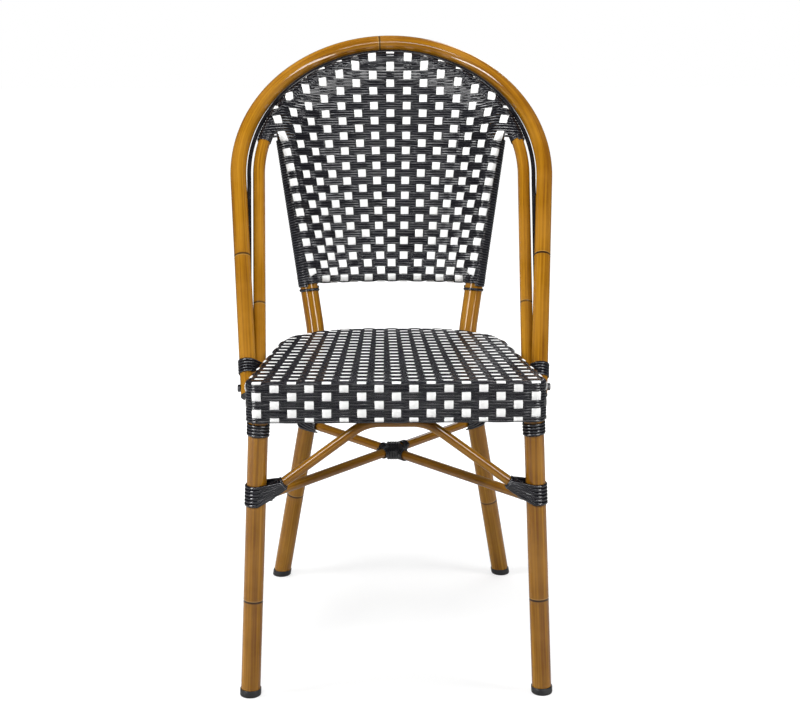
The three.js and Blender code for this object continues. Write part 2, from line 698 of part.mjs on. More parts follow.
function endPlug(shape, tubeRadius) {
  const plug = plugRadius(tubeRadius, ARCH_WALL);
  const profile = [
    new THREE.Vector2(0, -END_PLUG_THICKNESS),
    new THREE.Vector2(tubeRadius - END_PLUG_THICKNESS / 2, -END_PLUG_THICKNESS),
    new THREE.Vector2(tubeRadius, -END_PLUG_THICKNESS / 2),
    new THREE.Vector2(tubeRadius, -FIT_GAP),
    new THREE.Vector2(plug, -FIT_GAP),
    new THREE.Vector2(plug, END_PLUG_LENGTH),
    new THREE.Vector2(0, END_PLUG_LENGTH),
  ];
  return lathed(profile, shape.foot, shape.legDirection);
}

// A bolt runs across the chair on each side, from outside the outer arch into the seat tube
const inward = new THREE.Vector3(-1, 0, 0);
const boltPlace = outerHoop.legPoint(ARCH_BOLT_HEIGHT);
const boltSeatDepth = boltPlace.clone().applyMatrix4(seatInverse).y;
const boltEnd = seatHalfWidth(boltSeatDepth) - SEAT_TUBE_INSET - BOLT_END_REACH;

function archBolt() {
  const shank = BOLT_DIAMETER / 2;
  const head = BOLT_HEAD_DIAMETER / 2;
  const slant = Math.asin(outerHoop.legDirection.x);
  const face = -(OUTER_ARCH_TUBE_RADIUS + FIT_GAP) / Math.cos(slant) - head * Math.abs(Math.tan(slant));
  const end = boltPlace.x - boltEnd;
  const profile = [
    new THREE.Vector2(0, face - BOLT_HEAD_HEIGHT),
    new THREE.Vector2(head / 2, face - BOLT_HEAD_HEIGHT),
    new THREE.Vector2(head, face - BOLT_HEAD_HEIGHT / 2),
    new THREE.Vector2(head, face),
    new THREE.Vector2(shank, face),
    new THREE.Vector2(shank, end),
    new THREE.Vector2(0, end),
  ];
  return lathed(profile, boltPlace, inward);
}

function boltSpace() {
  const outside = boltPlace.clone().addScaledVector(inward, -OUTER_ARCH_TUBE_RADIUS - OVERRUN);
  const inside = boltPlace.clone().setX(boltEnd - FIT_GAP);
  return envelope([outside, inside], BOLT_DIAMETER / 2, BORE_SIDES);
}

// A sleeve round the bolt, between the outer arch and the woven side of the seat
function boltSpacer() {
  const sleeve = rod([boltPlace, boltPlace.clone().setX(boltEnd)], SPACER_DIAMETER / 2, SMALL_TUBE_SIDES);
  const seatBlock = prism(seatOutline(-FIT_GAP), -APRON_HEIGHT - OVERRUN, OVERRUN);
  const archSpace = envelope(hoopStations(outerHoop), OUTER_ARCH_TUBE_RADIUS);
  return cut(sleeve, archSpace, seatPlaced(seatBlock), boltSpace());
}

// Back panel

// Edge of the panel at a height: on the post, or on the inner arch above the post
function panelEdge(height) {
  if (height < postTop.z) {
    return postPoint(height);
  }
  const rise = Math.min((height - innerHoop.centre.z) / (innerHoop.radius * innerHoop.up.z), 1);
  return innerHoop.onCircle(Math.asin(rise));
}

const backRailEdge = postPoint(BACK_RAIL_HEIGHT);
const panelLowerMiddle = new THREE.Vector3(0, backRailEdge.y + BACK_BOW, BACK_RAIL_HEIGHT);

// The panel is hollowed: each row runs back from its edges to the middle line
function panelPoint(x, height) {
  const edge = panelEdge(height);
  const share = (height - panelLowerMiddle.z) / (innerHoop.top.z - panelLowerMiddle.z);
  const middle = THREE.MathUtils.lerp(panelLowerMiddle.y, innerHoop.top.y, share);
  return new THREE.Vector3(x, middle + (edge.y - middle) * (x / edge.x) ** 2, height);
}

function backRailStations() {
  const stations = [];
  for (let i = 0; i <= RAIL_STEPS; i += 1) {
    stations.push(panelPoint(backRailEdge.x * (1 - (2 * i) / RAIL_STEPS), BACK_RAIL_HEIGHT));
  }
  return stations;
}

function backRail(postSpaces) {
  return cut(tube(backRailStations(), BACK_RAIL_RADIUS, BACK_RAIL_WALL, SMALL_TUBE_SIDES), ...postSpaces);
}

// The part of the inner arch that the weave is wrapped round, from ear to ear
const earStart = innerHoop.arc[1].clone().lerp(innerHoop.arc[2], EAR_START_SHARE);

function wrappedArchStations() {
  const otherEar = new THREE.Vector3(-earStart.x, earStart.y, earStart.z);
  return [earStart, ...innerHoop.arc.slice(2, -2), otherEar];
}

// The sheet of weave between the posts, carried on to the arch at the ears
function panelSheet(thickness) {
  const halfThickness = thickness / 2 / outerHoop.up.z;
  const postRows = earStart.z - BACK_WEAVE_THICKNESS;
  const rows = [];
  for (let i = 0; i <= PANEL_LOWER_ROWS; i += 1) {
    const height = THREE.MathUtils.lerp(BACK_RAIL_HEIGHT, postRows, i / PANEL_LOWER_ROWS);
    rows.push({ height, reach: postPoint(height).x });
  }
  rows.push({ height: earStart.z, reach: earStart.x });
  for (let i = 2; i < ARCH_STEPS / 2; i += 2) {
    rows.push({ height: innerHoop.arc[i].z, reach: innerHoop.arc[i].x });
  }
  const rings = rows.map(({ height, reach }) => {
    const front = [];
    const back = [];
    for (let i = 0; i <= PANEL_COLUMNS; i += 1) {
      const place = panelPoint(reach * ((2 * i) / PANEL_COLUMNS - 1), height);
      front.push(place.clone().setY(place.y - halfThickness));
      back.unshift(place.clone().setY(place.y + halfThickness));
    }
    return [...front, ...back];
  });
  return ringSolid(rings, slabFaces);
}

// A slab through the panel where a flat strand runs up it; the strands fan out
function upwardStrand(number) {
  const share = (2 * number) / (BACK_STRANDS - 1) - 1;
  const [lower, upper] = BACK_STRAND_SPREAD_SHARES;
  const corner = (height, side) => {
    const climb = (height - BACK_RAIL_HEIGHT) / (postTop.z - BACK_RAIL_HEIGHT);
    const middle = share * THREE.MathUtils.lerp(lower * backRailEdge.x, upper * postTop.x, climb);
    return new THREE.Vector2(middle + (side * STRAND_WIDTH) / 2, height);
  };
  const foot = BACK_RAIL_HEIGHT;
  const top = innerHoop.top.z;
  const outline = [corner(foot, -1), corner(foot, 1), corner(top, 1), corner(top, -1)];
  return prism(outline, -outerHoop.top.y, 0).rotateX(Math.PI / 2);
}

function wovenPanel() {
  const strands = Array(BACK_STRANDS).fill().map((_, i) => upwardStrand(i));
  const relief = common(panelSheet(BACK_WEAVE_THICKNESS), join(...strands));
  return join(panelSheet(BACK_WEAVE_THICKNESS - 2 * STRAND_RELIEF), relief);
}

// Foot of the weave's sleeve on a post: its upper side is level with the underside of the wrapped rail
const postSleeveRadius = LEG_RADIUS + FIT_GAP + WRAP_THICKNESS;
const postSleeveFoot = postPoint(
  BACK_RAIL_HEIGHT - BACK_RAIL_RADIUS - WRAP_THICKNESS - FIT_GAP
    - postSleeveRadius * Math.sqrt(1 - postDirection.z ** 2),
);

function backWeave() {
  const sleeveTop = postTop.clone().addScaledVector(postDirection, -LEG_RADIUS);
  const postSleeve = rod([postSleeveFoot, sleeveTop], postSleeveRadius, SMALL_TUBE_SIDES);
  const archSleeve = rod(
    wrappedArchStations(),
    INNER_ARCH_TUBE_RADIUS + FIT_GAP + WRAP_THICKNESS,
    SMALL_TUBE_SIDES,
  );
  const railSleeve = rod(backRailStations(), BACK_RAIL_RADIUS + FIT_GAP + WRAP_THICKNESS, SMALL_TUBE_SIDES);
  const post = rearLegStations(rearLegPoint(CAP_HEIGHT), postTop);
  const postSpace = envelope(post, LEG_RADIUS);
  return cut(
    join(wovenPanel(), postSleeve, mirrored(postSleeve), archSleeve, railSleeve),
    postSpace,
    mirrored(postSpace),
    envelope(hoopStations(innerHoop), INNER_ARCH_TUBE_RADIUS, SMALL_TUBE_SIDES),
    envelope(backRailStations(), BACK_RAIL_RADIUS, SMALL_TUBE_SIDES),
  );
}

// Braces

const frontLegSpace = envelope([frontLegPoint(0), frontLegTop], LEG_RADIUS);
const frontBraceTop = new THREE.Vector3(0, SEAT_OVERHANG, SEAT_TUBE_BOTTOM).applyMatrix4(seatMatrix).z
  - FIT_GAP - BRACE_RADIUS;

function frontBraceStations() {
  const foot = frontLegPoint(FRONT_BRACE_FOOT_HEIGHT);
  const shoulder = new THREE.Vector3(FRONT_BRACE_SHOULDER_HALF_SPREAD, 0, frontBraceTop);
  const otherShoulder = new THREE.Vector3(-shoulder.x, 0, frontBraceTop);
  const otherFoot = new THREE.Vector3(-foot.x, 0, foot.z);
  return [
    foot,
    ...roundedCorner(foot, shoulder, otherShoulder, FRONT_BRACE_BEND_RADIUS, BRACE_BEND_STEPS),
    ...roundedCorner(shoulder, otherShoulder, otherFoot, FRONT_BRACE_BEND_RADIUS, BRACE_BEND_STEPS),
    otherFoot,
  ];
}

const frontBraceDirection = frontBraceStations()[1].clone().sub(frontBraceStations()[0]).normalize();
const frontBraceSpace = envelope(frontBraceStations(), BRACE_RADIUS, SMALL_TUBE_SIDES);

function frontBrace() {
  const whole = tube(frontBraceStations(), BRACE_RADIUS, BRACE_WALL, SMALL_TUBE_SIDES);
  return cut(whole, frontLegSpace, mirrored(frontLegSpace));
}

// Axis of a cross brace, from a front leg to the rear leg on the other side
function crossBraceEnds(frontSide, drop) {
  const front = frontLegPoint(CROSS_BRACE_FRONT_HEIGHT - drop);
  const rear = rearLegPoint(CROSS_BRACE_REAR_HEIGHT - drop);
  front.x *= frontSide;
  rear.x *= -frontSide;
  return [front, rear];
}

const longBraceEnds = crossBraceEnds(-1, 0);
const shortBraceEnds = crossBraceEnds(1, CROSS_BRACE_DROP);

function crossingOf([front, rear]) {
  return front.clone().lerp(rear, front.x / (front.x - rear.x));
}

function crossBrace(ends, ...others) {
  const rearLegSpace = envelope([rearLegPoint(0), rearLegKnee], LEG_RADIUS);
  return cut(
    tube(ends, BRACE_RADIUS, BRACE_WALL, SMALL_TUBE_SIDES),
    frontLegSpace,
    mirrored(frontLegSpace),
    rearLegSpace,
    mirrored(rearLegSpace),
    frontBraceSpace,
    ...others,
  );
}

const longBraceSpace = envelope(longBraceEnds, BRACE_RADIUS, SMALL_TUBE_SIDES);

// Windings

// A flat strip wound round a tube or a bundle. At a number of turns, wind gives the strip's middle,
// the way out from the tube and the way along it.
function winding(wind, turns, stepsPerTurn) {
  const rings = [];
  const steps = Math.round(turns * stepsPerTurn);
  for (let i = 0; i <= steps; i += 1) {
    const { middle, out, along } = wind(i / stepsPerTurn);
    const corners = [[1, 1], [-1, 1], [-1, -1], [1, -1]];
    rings.push(corners.map(([w, t]) => middle.clone()
      .addScaledVector(along, (w * STRIP_WIDTH) / 2)
      .addScaledVector(out, (t * STRIP_THICKNESS) / 2)));
  }
  const run = (from, to) => from.map((corner, i) => corner.clone()
    .addScaledVector(corner.clone().sub(to[i]).normalize(), STRIP_WIDTH));
  const all = [run(rings[0], rings[1]), ...rings, run(rings[steps], rings[steps - 1])];
  const geometry = ringSolid(all);
  geometry.userData.leastGap = leastGap(all, stepsPerTurn);
  return geometry;
}

// Least distance between corners of the strip that lie more than half a turn apart
function leastGap(rings, stepsPerTurn) {
  let least = Infinity;
  for (let i = 0; i < rings.length; i += 1) {
    for (let j = i + Math.ceil(stepsPerTurn / 2); j < rings.length; j += 1) {
      for (const a of rings[i]) {
        for (const b of rings[j]) {
          least = Math.min(least, a.distanceTo(b));
        }
      }
    }
  }
  return least;
}

// Radius at which a strip clears a round tube, although it runs in flats
function strippedRadius(tubeRadius, stepsPerTurn) {
  return (tubeRadius + FIT_GAP) / Math.cos(Math.PI / stepsPerTurn) + STRIP_THICKNESS / 2;
}

// Distance that a winding reaches from the middle of the tube, the corners of its flats included
function windingReach(tubeRadius, stepsPerTurn) {
  return (strippedRadius(tubeRadius, stepsPerTurn) + STRIP_THICKNESS / 2) / Math.cos(Math.PI / stepsPerTurn);
}

// Winds round a straight tube from a start, along its axis. After some turns the strip may step along
// by an extra length, in the half turn that is centred on a given side.
function roundTube({ start, axis, tubeRadius, side, stepsPerTurn, stepAfter = Infinity, stepLength = 0 }) {
  const radius = strippedRadius(tubeRadius, stepsPerTurn);
  const facing = side.clone().addScaledVector(axis, -side.dot(axis)).normalize();
  const aside = axis.clone().cross(facing);
  return (turns) => {
    const angle = 2 * Math.PI * turns - Math.PI / 2;
    const out = facing.clone().multiplyScalar(Math.cos(angle)).addScaledVector(aside, Math.sin(angle));
    const stepShare = THREE.MathUtils.clamp((turns - stepAfter) / HALF_TURN, 0, 1);
    const step = (stepLength * (1 - Math.cos(Math.PI * stepShare))) / 2;
    const middle = start.clone()
      .addScaledVector(axis, turns * STRIP_PITCH + step)
      .addScaledVector(out, radius);
    return { middle, out, along: axis };
  };
}

// Winds round the legs of both arches together, along an axis that runs between them
function roundArchLegs(start, axis) {
  const bigRadius = strippedRadius(OUTER_ARCH_TUBE_RADIUS, OVAL_TURN_STEPS);
  const smallRadius = strippedRadius(INNER_ARCH_TUBE_RADIUS, OVAL_TURN_STEPS);
  const onLeg = (shape, advance) => acrossFrom(shape, start.clone().addScaledVector(axis, advance), axis);
  const apart = onLeg(innerHoop, 0).sub(onLeg(outerHoop, 0));
  const across = apart.clone().normalize();
  const aside = axis.clone().cross(across);
  return (turns) => {
    const angle = 2 * Math.PI * turns;
    const out = across.clone().multiplyScalar(Math.cos(angle)).addScaledVector(aside, Math.sin(angle));
    const onInner = Math.cos(angle) > (bigRadius - smallRadius) / apart.length();
    const tubeMiddle = onLeg(onInner ? innerHoop : outerHoop, turns * STRIP_PITCH);
    return { middle: tubeMiddle.addScaledVector(out, onInner ? smallRadius : bigRadius), out, along: axis };
  };
}

function archWinding() {
  const axis = outerHoop.legDirection.clone().add(innerHoop.legDirection).normalize();
  const wind = roundArchLegs(outerHoop.legPoint(ARCH_WINDING_HEIGHT), axis);
  return winding(wind, ARCH_WINDING_TURNS, OVAL_TURN_STEPS);
}

const backward = new THREE.Vector3(0, 1, 0);
const upward = new THREE.Vector3(0, 0, 1);

function legTopWinding() {
  const axis = frontLegDirection.clone().negate();
  const lip = new THREE.Vector3(0, SEAT_OVERHANG + LEG_RADIUS, -APRON_HEIGHT).applyMatrix4(seatMatrix).z;
  const start = frontLegPoint(lip - FIT_GAP - STRIP_WIDTH);
  const wind = roundTube({ start, axis, tubeRadius: LEG_RADIUS, side: backward, stepsPerTurn: TURN_STEPS });
  return winding(wind, LEG_TOP_WINDING_TURNS, TURN_STEPS);
}

// Winds a leg below and above the braces that leave it, and passes them on the far side
function legBraceWinding() {
  const clearance = FIT_GAP + STRIP_WIDTH / 2 + STRIP_GAP;
  const low = Math.min(FRONT_BRACE_FOOT_HEIGHT, CROSS_BRACE_FRONT_HEIGHT - CROSS_BRACE_DROP) - BRACE_RADIUS;
  const cosine = -frontBraceDirection.x;
  const rise = (windingReach(LEG_RADIUS, TURN_STEPS) * frontBraceDirection.z) / cosine;
  const high = Math.max(
    FRONT_BRACE_FOOT_HEIGHT + rise + BRACE_RADIUS / cosine,
    CROSS_BRACE_FRONT_HEIGHT + BRACE_RADIUS,
  );
  const wind = roundTube({
    start: frontLegPoint(low - clearance - (LEG_BRACE_TURNS_BELOW + QUARTER_TURN) * STRIP_PITCH),
    axis: frontLegDirection,
    tubeRadius: LEG_RADIUS,
    side: inward.clone().negate(),
    stepsPerTurn: TURN_STEPS,
    stepAfter: LEG_BRACE_TURNS_BELOW,
    stepLength: high - low + 2 * clearance,
  });
  return winding(wind, LEG_BRACE_TURNS_BELOW + HALF_TURN + LEG_BRACE_TURNS_ABOVE, TURN_STEPS);
}

// Winds the front brace, starting clear of the winding on the leg
function frontBraceWinding() {
  const legReach = windingReach(LEG_RADIUS, TURN_STEPS);
  const braceReach = windingReach(BRACE_RADIUS, SMALL_TURN_STEPS);
  const cosine = -frontBraceDirection.x;
  const away = (legReach + FIT_GAP + braceReach * frontBraceDirection.z) / cosine + STRIP_WIDTH;
  const wind = roundTube({
    start: frontLegPoint(FRONT_BRACE_FOOT_HEIGHT).addScaledVector(frontBraceDirection, away),
    axis: frontBraceDirection,
    tubeRadius: BRACE_RADIUS,
    side: backward,
    stepsPerTurn: SMALL_TURN_STEPS,
  });
  return winding(wind, FRONT_BRACE_WINDING_TURNS, SMALL_TURN_STEPS);
}

// Winds a rear leg below and above the cross brace that leaves it. The leg slants, so the turns reach
// the brace's side of the leg lower than their middle.
function rearLegWinding(drop) {
  const side = rearLegFoot.clone().sub(frontLegFoot.clone().setX(-frontLegFoot.x)).setZ(0).normalize();
  const lift = (LEG_RADIUS * -side.dot(rearLegDirection)) / rearLegDirection.z;
  const stepLength = 2 * (BRACE_RADIUS + FIT_GAP + STRIP_WIDTH / 2 + STRIP_GAP);
  const before = stepLength / 2 + (REAR_LEG_TURNS_EACH_SIDE + QUARTER_TURN) * STRIP_PITCH;
  const middle = rearLegPoint(CROSS_BRACE_REAR_HEIGHT - drop + lift);
  const wind = roundTube({
    start: middle.addScaledVector(rearLegDirection, -before),
    axis: rearLegDirection,
    tubeRadius: LEG_RADIUS,
    side,
    stepsPerTurn: TURN_STEPS,
    stepAfter: REAR_LEG_TURNS_EACH_SIDE,
    stepLength,
  });
  return winding(wind, 2 * REAR_LEG_TURNS_EACH_SIDE + HALF_TURN, TURN_STEPS);
}

// Winds one brace on both sides of the crossing, passing the crossing above or below
function crossingWinding(ends, passSide) {
  const axis = ends[1].clone().sub(ends[0]).normalize();
  const crossed = axis.angleTo(axis.clone().setX(-axis.x));
  const halfAngle = Math.min(crossed, Math.PI - crossed) / 2;
  const reach = windingReach(BRACE_RADIUS, SMALL_TURN_STEPS);
  const clearHalf = (reach * Math.cos(halfAngle) + FIT_GAP) / Math.sin(halfAngle) + STRIP_WIDTH / 2;
  const before = clearHalf + (CROSSING_TURNS_EACH_SIDE + QUARTER_TURN) * STRIP_PITCH;
  const wind = roundTube({
    start: crossingOf(ends).addScaledVector(axis, -before),
    axis,
    tubeRadius: BRACE_RADIUS,
    side: passSide,
    stepsPerTurn: SMALL_TURN_STEPS,
    stepAfter: CROSSING_TURNS_EACH_SIDE,
    stepLength: 2 * clearHalf,
  });
  return winding(wind, 2 * CROSSING_TURNS_EACH_SIDE + HALF_TURN, SMALL_TURN_STEPS);
}

// Winds a post just below the weave of the back
function backCornerWinding() {
  const axis = postDirection.clone().negate();
  const start = postSleeveFoot.clone().addScaledVector(axis, STRIP_WIDTH / 2 + FIT_GAP);
  const wind = roundTube({ start, axis, tubeRadius: LEG_RADIUS, side: backward, stepsPerTurn: TURN_STEPS });
  return winding(wind, BACK_CORNER_WINDING_TURNS, TURN_STEPS);
}

// Materials

function material(colour, roughness, metalness) {
  return new THREE.MeshStandardMaterial({ color: colour, roughness, metalness });
}

const bambooPaint = () => material(0xb98732, 0.3, 0.35);
const blackStrand = () => material(0x1b1b20, 0.4, 0);
const checkedWeave = () => material(0x57575c, 0.45, 0);
const blackPlastic = () => material(0x141414, 0.5, 0);
const bareAluminium = () => material(0xa9abae, 0.4, 0.9);
const boltSteel = () => material(0x2a2a2c, 0.35, 0.8);

// Assembly

const chair = new THREE.Group();

function add(name, geometry, finish) {
  const mesh = new THREE.Mesh(geometry, finish);
  mesh.name = name;
  chair.add(mesh);
  if (geometry.userData.leastGap) {
    console.log(`${name}: least gap between turns ${geometry.userData.leastGap.toFixed(2)} mm`);
  }
}

function addPair(name, geometry, finish) {
  add(`${name}_right`, geometry, finish());
  add(`${name}_left`, mirrored(geometry), finish());
}

const boltSpaces = [boltSpace(), mirrored(boltSpace())];
const postSpace = envelope([rearLegHip, postTop], LEG_RADIUS);

addPair('front_leg', frontLeg(), bambooPaint);
addPair('rear_leg', rearLeg(), bambooPaint);
addPair('front_foot_cap', footCap(frontLegPoint(CAP_HEIGHT), frontLegDirection), blackPlastic);
addPair('rear_foot_cap', footCap(rearLegPoint(CAP_HEIGHT), rearLegDirection), blackPlastic);

const outerArch = tube(hoopStations(outerHoop), OUTER_ARCH_TUBE_RADIUS, ARCH_WALL);
const innerArch = tube(hoopStations(innerHoop), INNER_ARCH_TUBE_RADIUS, ARCH_WALL, SMALL_TUBE_SIDES);
add('outer_arch', cut(outerArch, ...boltSpaces), bambooPaint());
add('inner_arch', innerArch, bambooPaint());
add('arch_cane', rod(caneStations(), CANE_RADIUS, CANE_SIDES), blackPlastic());
addPair('outer_arch_plug', endPlug(outerHoop, OUTER_ARCH_TUBE_RADIUS), blackPlastic);
addPair('inner_arch_plug', endPlug(innerHoop, INNER_ARCH_TUBE_RADIUS), blackPlastic);
addPair('arch_bolt', archBolt(), boltSteel);
addPair('arch_spacer', boltSpacer(), blackPlastic);

add('seat_hoop', cut(seatHoop(), ...boltSpaces), bareAluminium());
add('seat_front_rail', seatFrontRail(), bareAluminium());
CROSS_BAR_DEPTH_SHARES.forEach((share, i) => {
  add(`seat_cross_bar_${i + 1}`, crossBar(share), bareAluminium());
});
const legHole = cut(frontLegSpace, spaceAbove(SEAT_LIP_TOP + OVERRUN));
add('seat_weave', seatWeave(legHole, mirrored(legHole), frontBraceSpace, ...boltSpaces), checkedWeave());

add('back_bottom_rail', backRail([postSpace, mirrored(postSpace)]), bareAluminium());
add('back_weave', backWeave(), checkedWeave());

add('front_brace', frontBrace(), bambooPaint());
add('cross_brace_long', crossBrace(longBraceEnds), bambooPaint());
const [shortFront, shortRear] = shortBraceEnds;
const shortCrossing = crossingOf(shortBraceEnds);
add('cross_brace_front_half', crossBrace([shortFront, shortCrossing], longBraceSpace), bambooPaint());
add('cross_brace_rear_half', crossBrace([shortCrossing, shortRear], longBraceSpace), bambooPaint());

addPair('arch_winding', archWinding(), blackStrand);
addPair('front_leg_top_winding', legTopWinding(), blackStrand);
addPair('front_leg_brace_winding', legBraceWinding(), blackStrand);
addPair('front_brace_winding', frontBraceWinding(), blackStrand);
addPair('back_corner_winding', backCornerWinding(), blackStrand);
add('rear_leg_winding_right', rearLegWinding(0), blackStrand());
add('rear_leg_winding_left', mirrored(rearLegWinding(CROSS_BRACE_DROP)), blackStrand());
add('crossing_winding_upper', crossingWinding(longBraceEnds, upward), blackStrand());
add('crossing_winding_lower', crossingWinding(shortBraceEnds, upward.clone().negate()), blackStrand());

// The finished chair stands on the floor with its box centred on the origin
const bounds = new THREE.Box3().setFromObject(chair);
chair.position.y = -(bounds.min.y + bounds.max.y) / 2;

export default chair;
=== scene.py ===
# %% [markdown]
# # A woven bistro chair
# The chair is made of aluminium tubes that are painted like bamboo. Its seat and back are plain
# weave: flat white strands run up and down, and dark strands cross them three at a time. The packed
# model gives the sizes and the frame. This lesson puts the finish on it and weaves the strands.

# %% Frame
import math

import bpy
import numpy as np
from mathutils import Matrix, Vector


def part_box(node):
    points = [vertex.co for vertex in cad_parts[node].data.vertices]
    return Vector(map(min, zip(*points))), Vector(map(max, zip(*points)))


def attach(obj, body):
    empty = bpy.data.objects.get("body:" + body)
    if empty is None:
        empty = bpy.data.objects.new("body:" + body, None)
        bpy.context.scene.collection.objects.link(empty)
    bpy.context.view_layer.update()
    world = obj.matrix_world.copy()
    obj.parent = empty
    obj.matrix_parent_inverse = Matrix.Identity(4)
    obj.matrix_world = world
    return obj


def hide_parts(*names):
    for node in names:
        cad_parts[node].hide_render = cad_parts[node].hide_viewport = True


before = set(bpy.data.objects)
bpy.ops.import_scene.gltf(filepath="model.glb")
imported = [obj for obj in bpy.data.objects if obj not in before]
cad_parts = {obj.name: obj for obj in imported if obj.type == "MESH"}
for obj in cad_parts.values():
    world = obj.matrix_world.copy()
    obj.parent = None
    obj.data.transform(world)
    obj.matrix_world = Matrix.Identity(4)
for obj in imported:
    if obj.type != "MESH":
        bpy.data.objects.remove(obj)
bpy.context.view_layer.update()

# %% [markdown]
# The drawing of the chair is in millimetres, and its depth starts at the front legs. The frame is in
# metres and is centred. Every shape below is worked out in the drawing's numbers and turned into the
# frame's with one function, so that both stay easy to read.

# %% From the drawing to the frame
MM = 0.001
MIRROR = (-1, 1, 1)
UPWARDS = (0.0, 0.0, 1.0)
leg_low, leg_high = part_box("front_leg_right")
MIDDLE_DEPTH = -(leg_low.y + leg_high.y) / 2 / MM


def to_frame(places):
    """Places of the drawing, in millimetres, as metres in the frame."""
    return (np.asarray(places, float) - (0, MIDDLE_DEPTH, 0)) * MM


def unit(vectors):
    vectors = np.asarray(vectors, float)
    return vectors / np.linalg.norm(vectors, axis=-1, keepdims=True)


print("The front legs stand", round(MIDDLE_DEPTH, 3), "mm in front of the middle")

# %% [markdown]
# An operator works on whatever is selected, and loading the frame leaves its nodes selected. So each
# step first deselects everything, and then makes one object active.

# %% Selecting
SMOOTH_ANGLE = 35


def deselect():
    if bpy.context.object and bpy.context.object.mode != "OBJECT":
        bpy.ops.object.mode_set(mode="OBJECT")
    bpy.ops.object.select_all(action="DESELECT")


def activate(piece):
    deselect()
    piece.select_set(True)
    bpy.context.view_layer.objects.active = piece


def edit(piece):
    activate(piece)
    bpy.ops.object.mode_set(mode="EDIT")


def select_vertices(piece, wanted):
    """In edit mode, selects the vertices for which wanted is true. It is asked about their places."""
    bpy.ops.object.mode_set(mode="OBJECT")
    chosen = [bool(wanted(piece.matrix_world @ v.co)) for v in piece.data.vertices]
    piece.data.polygons.foreach_set("select", [False] * len(piece.data.polygons))
    piece.data.edges.foreach_set("select", [False] * len(piece.data.edges))
    piece.data.vertices.foreach_set("select", chosen)
    bpy.ops.object.mode_set(mode="EDIT")


def places_of(mesh):
    places = np.empty(len(mesh.vertices) * 3, np.float32)
    mesh.vertices.foreach_get("co", places)
    return places.reshape(-1, 3).astype(float)


def settle(piece, smooth_angle=SMOOTH_ANGLE):
    """Puts a finished piece's object at the origin, faces outwards, and smooths its round sides."""
    edit(piece)
    bpy.ops.mesh.select_all(action="SELECT")
    bpy.ops.mesh.normals_make_consistent(inside=False)
    bpy.ops.object.mode_set(mode="OBJECT")
    bpy.ops.object.transform_apply(location=True, rotation=True, scale=True)
    bpy.ops.object.shade_smooth_by_angle(angle=math.radians(smooth_angle))


# %% [markdown]
# # Camera, light and floor
# The photograph was taken a little above the seat, with a long lens from about two and a half metres.
# The camera is set from the places of the feet, the seat's front edge and the arch in the picture.

# %% Camera
LENS = 77.34
LOOKS_DOWN = 13.7
LOOKS_ASIDE = -1.17
CAMERA_PLACE = (-0.041, -2.521, 1.0366)
camera_data = bpy.data.cameras.new("camera")
camera_data.sensor_width = 36
camera_data.lens = LENS
camera = bpy.data.objects.new("camera", camera_data)
camera.location = CAMERA_PLACE
camera.rotation_euler = (math.radians(90 - LOOKS_DOWN), 0, math.radians(LOOKS_ASIDE))
bpy.context.scene.collection.objects.link(camera)
bpy.context.scene.camera = camera
bpy.context.scene.view_settings.view_transform = "Standard"
print("The camera looks", LOOKS_DOWN, "degrees down")

# %% [markdown]
# The surround and every finish are made of shader nodes. A few small helpers place a node and join
# it, so that a finish reads as a short list.

# %% Node helpers
def add_node(tree, kind, settings=None, inputs=None):
    """Adds a node. An input has a name or a number, and is a value or another node's output."""
    made = tree.nodes.new(kind)
    for name, value in (settings or {}).items():
        setattr(made, name, value)
    for name, value in (inputs or {}).items():
        if isinstance(value, bpy.types.NodeSocket):
            tree.links.new(value, made.inputs[name])
        else:
            made.inputs[name].default_value = value
    return made


def calculate(tree, operation, *values, **settings):
    return add_node(tree, "ShaderNodeMath", {"operation": operation, **settings},
                    dict(enumerate(values))).outputs[0]


def rescale(tree, value, low, high, to_low=0.0, to_high=1.0):
    """Brings a value that runs from low to high to another range."""
    return add_node(tree, "ShaderNodeMapRange", inputs={
        "Value": value, "From Min": low, "From Max": high, "To Min": to_low, "To Max": to_high}).outputs[0]


def mix_colours(tree, share, first, second):
    return add_node(tree, "ShaderNodeMix", {"data_type": "RGBA"},
                    {0: share, 6: first, 7: second}).outputs[2]


# %% [markdown]
# The light is a soft studio: a dim surround, a tall soft lamp on each side, and softer ones above.
# These four light the chair, but they are kept out of its gloss, where they would grey the black
# strands. Four narrow lamps do the opposite: they show only in gloss, as thin bright lines along the
# tubes and glints on the strands. The camera sees the surround white.

# %% Surround and lamps
SOFT_FILL = 0.1
world = bpy.data.worlds.new("studio")
bpy.context.scene.world = world
world.use_nodes = True
sky = world.node_tree
sky.nodes.clear()
rays = add_node(sky, "ShaderNodeLightPath")
seen = calculate(sky, "MAXIMUM", rays.outputs["Is Camera Ray"], rays.outputs["Is Transmission Ray"])
dim = add_node(sky, "ShaderNodeBackground", inputs={"Color": (0.95, 0.97, 1, 1), "Strength": SOFT_FILL})
white = add_node(sky, "ShaderNodeBackground", inputs={"Color": (1, 1, 1, 1), "Strength": 1.0})
both = add_node(sky, "ShaderNodeMixShader", inputs={0: seen, 1: dim.outputs[0], 2: white.outputs[0]})
add_node(sky, "ShaderNodeOutputWorld", inputs={"Surface": both.outputs[0]})


def lamp(name, place, aim, width, height, power):
    data = bpy.data.lights.new(name, "AREA")
    data.shape = "RECTANGLE"
    data.size = width
    data.size_y = height
    data.energy = power
    made = bpy.data.objects.new(name, data)
    made.location = place
    made.rotation_euler = (Vector(aim) - Vector(place)).to_track_quat("-Z", "Y").to_euler()
    bpy.context.scene.collection.objects.link(made)
    return made


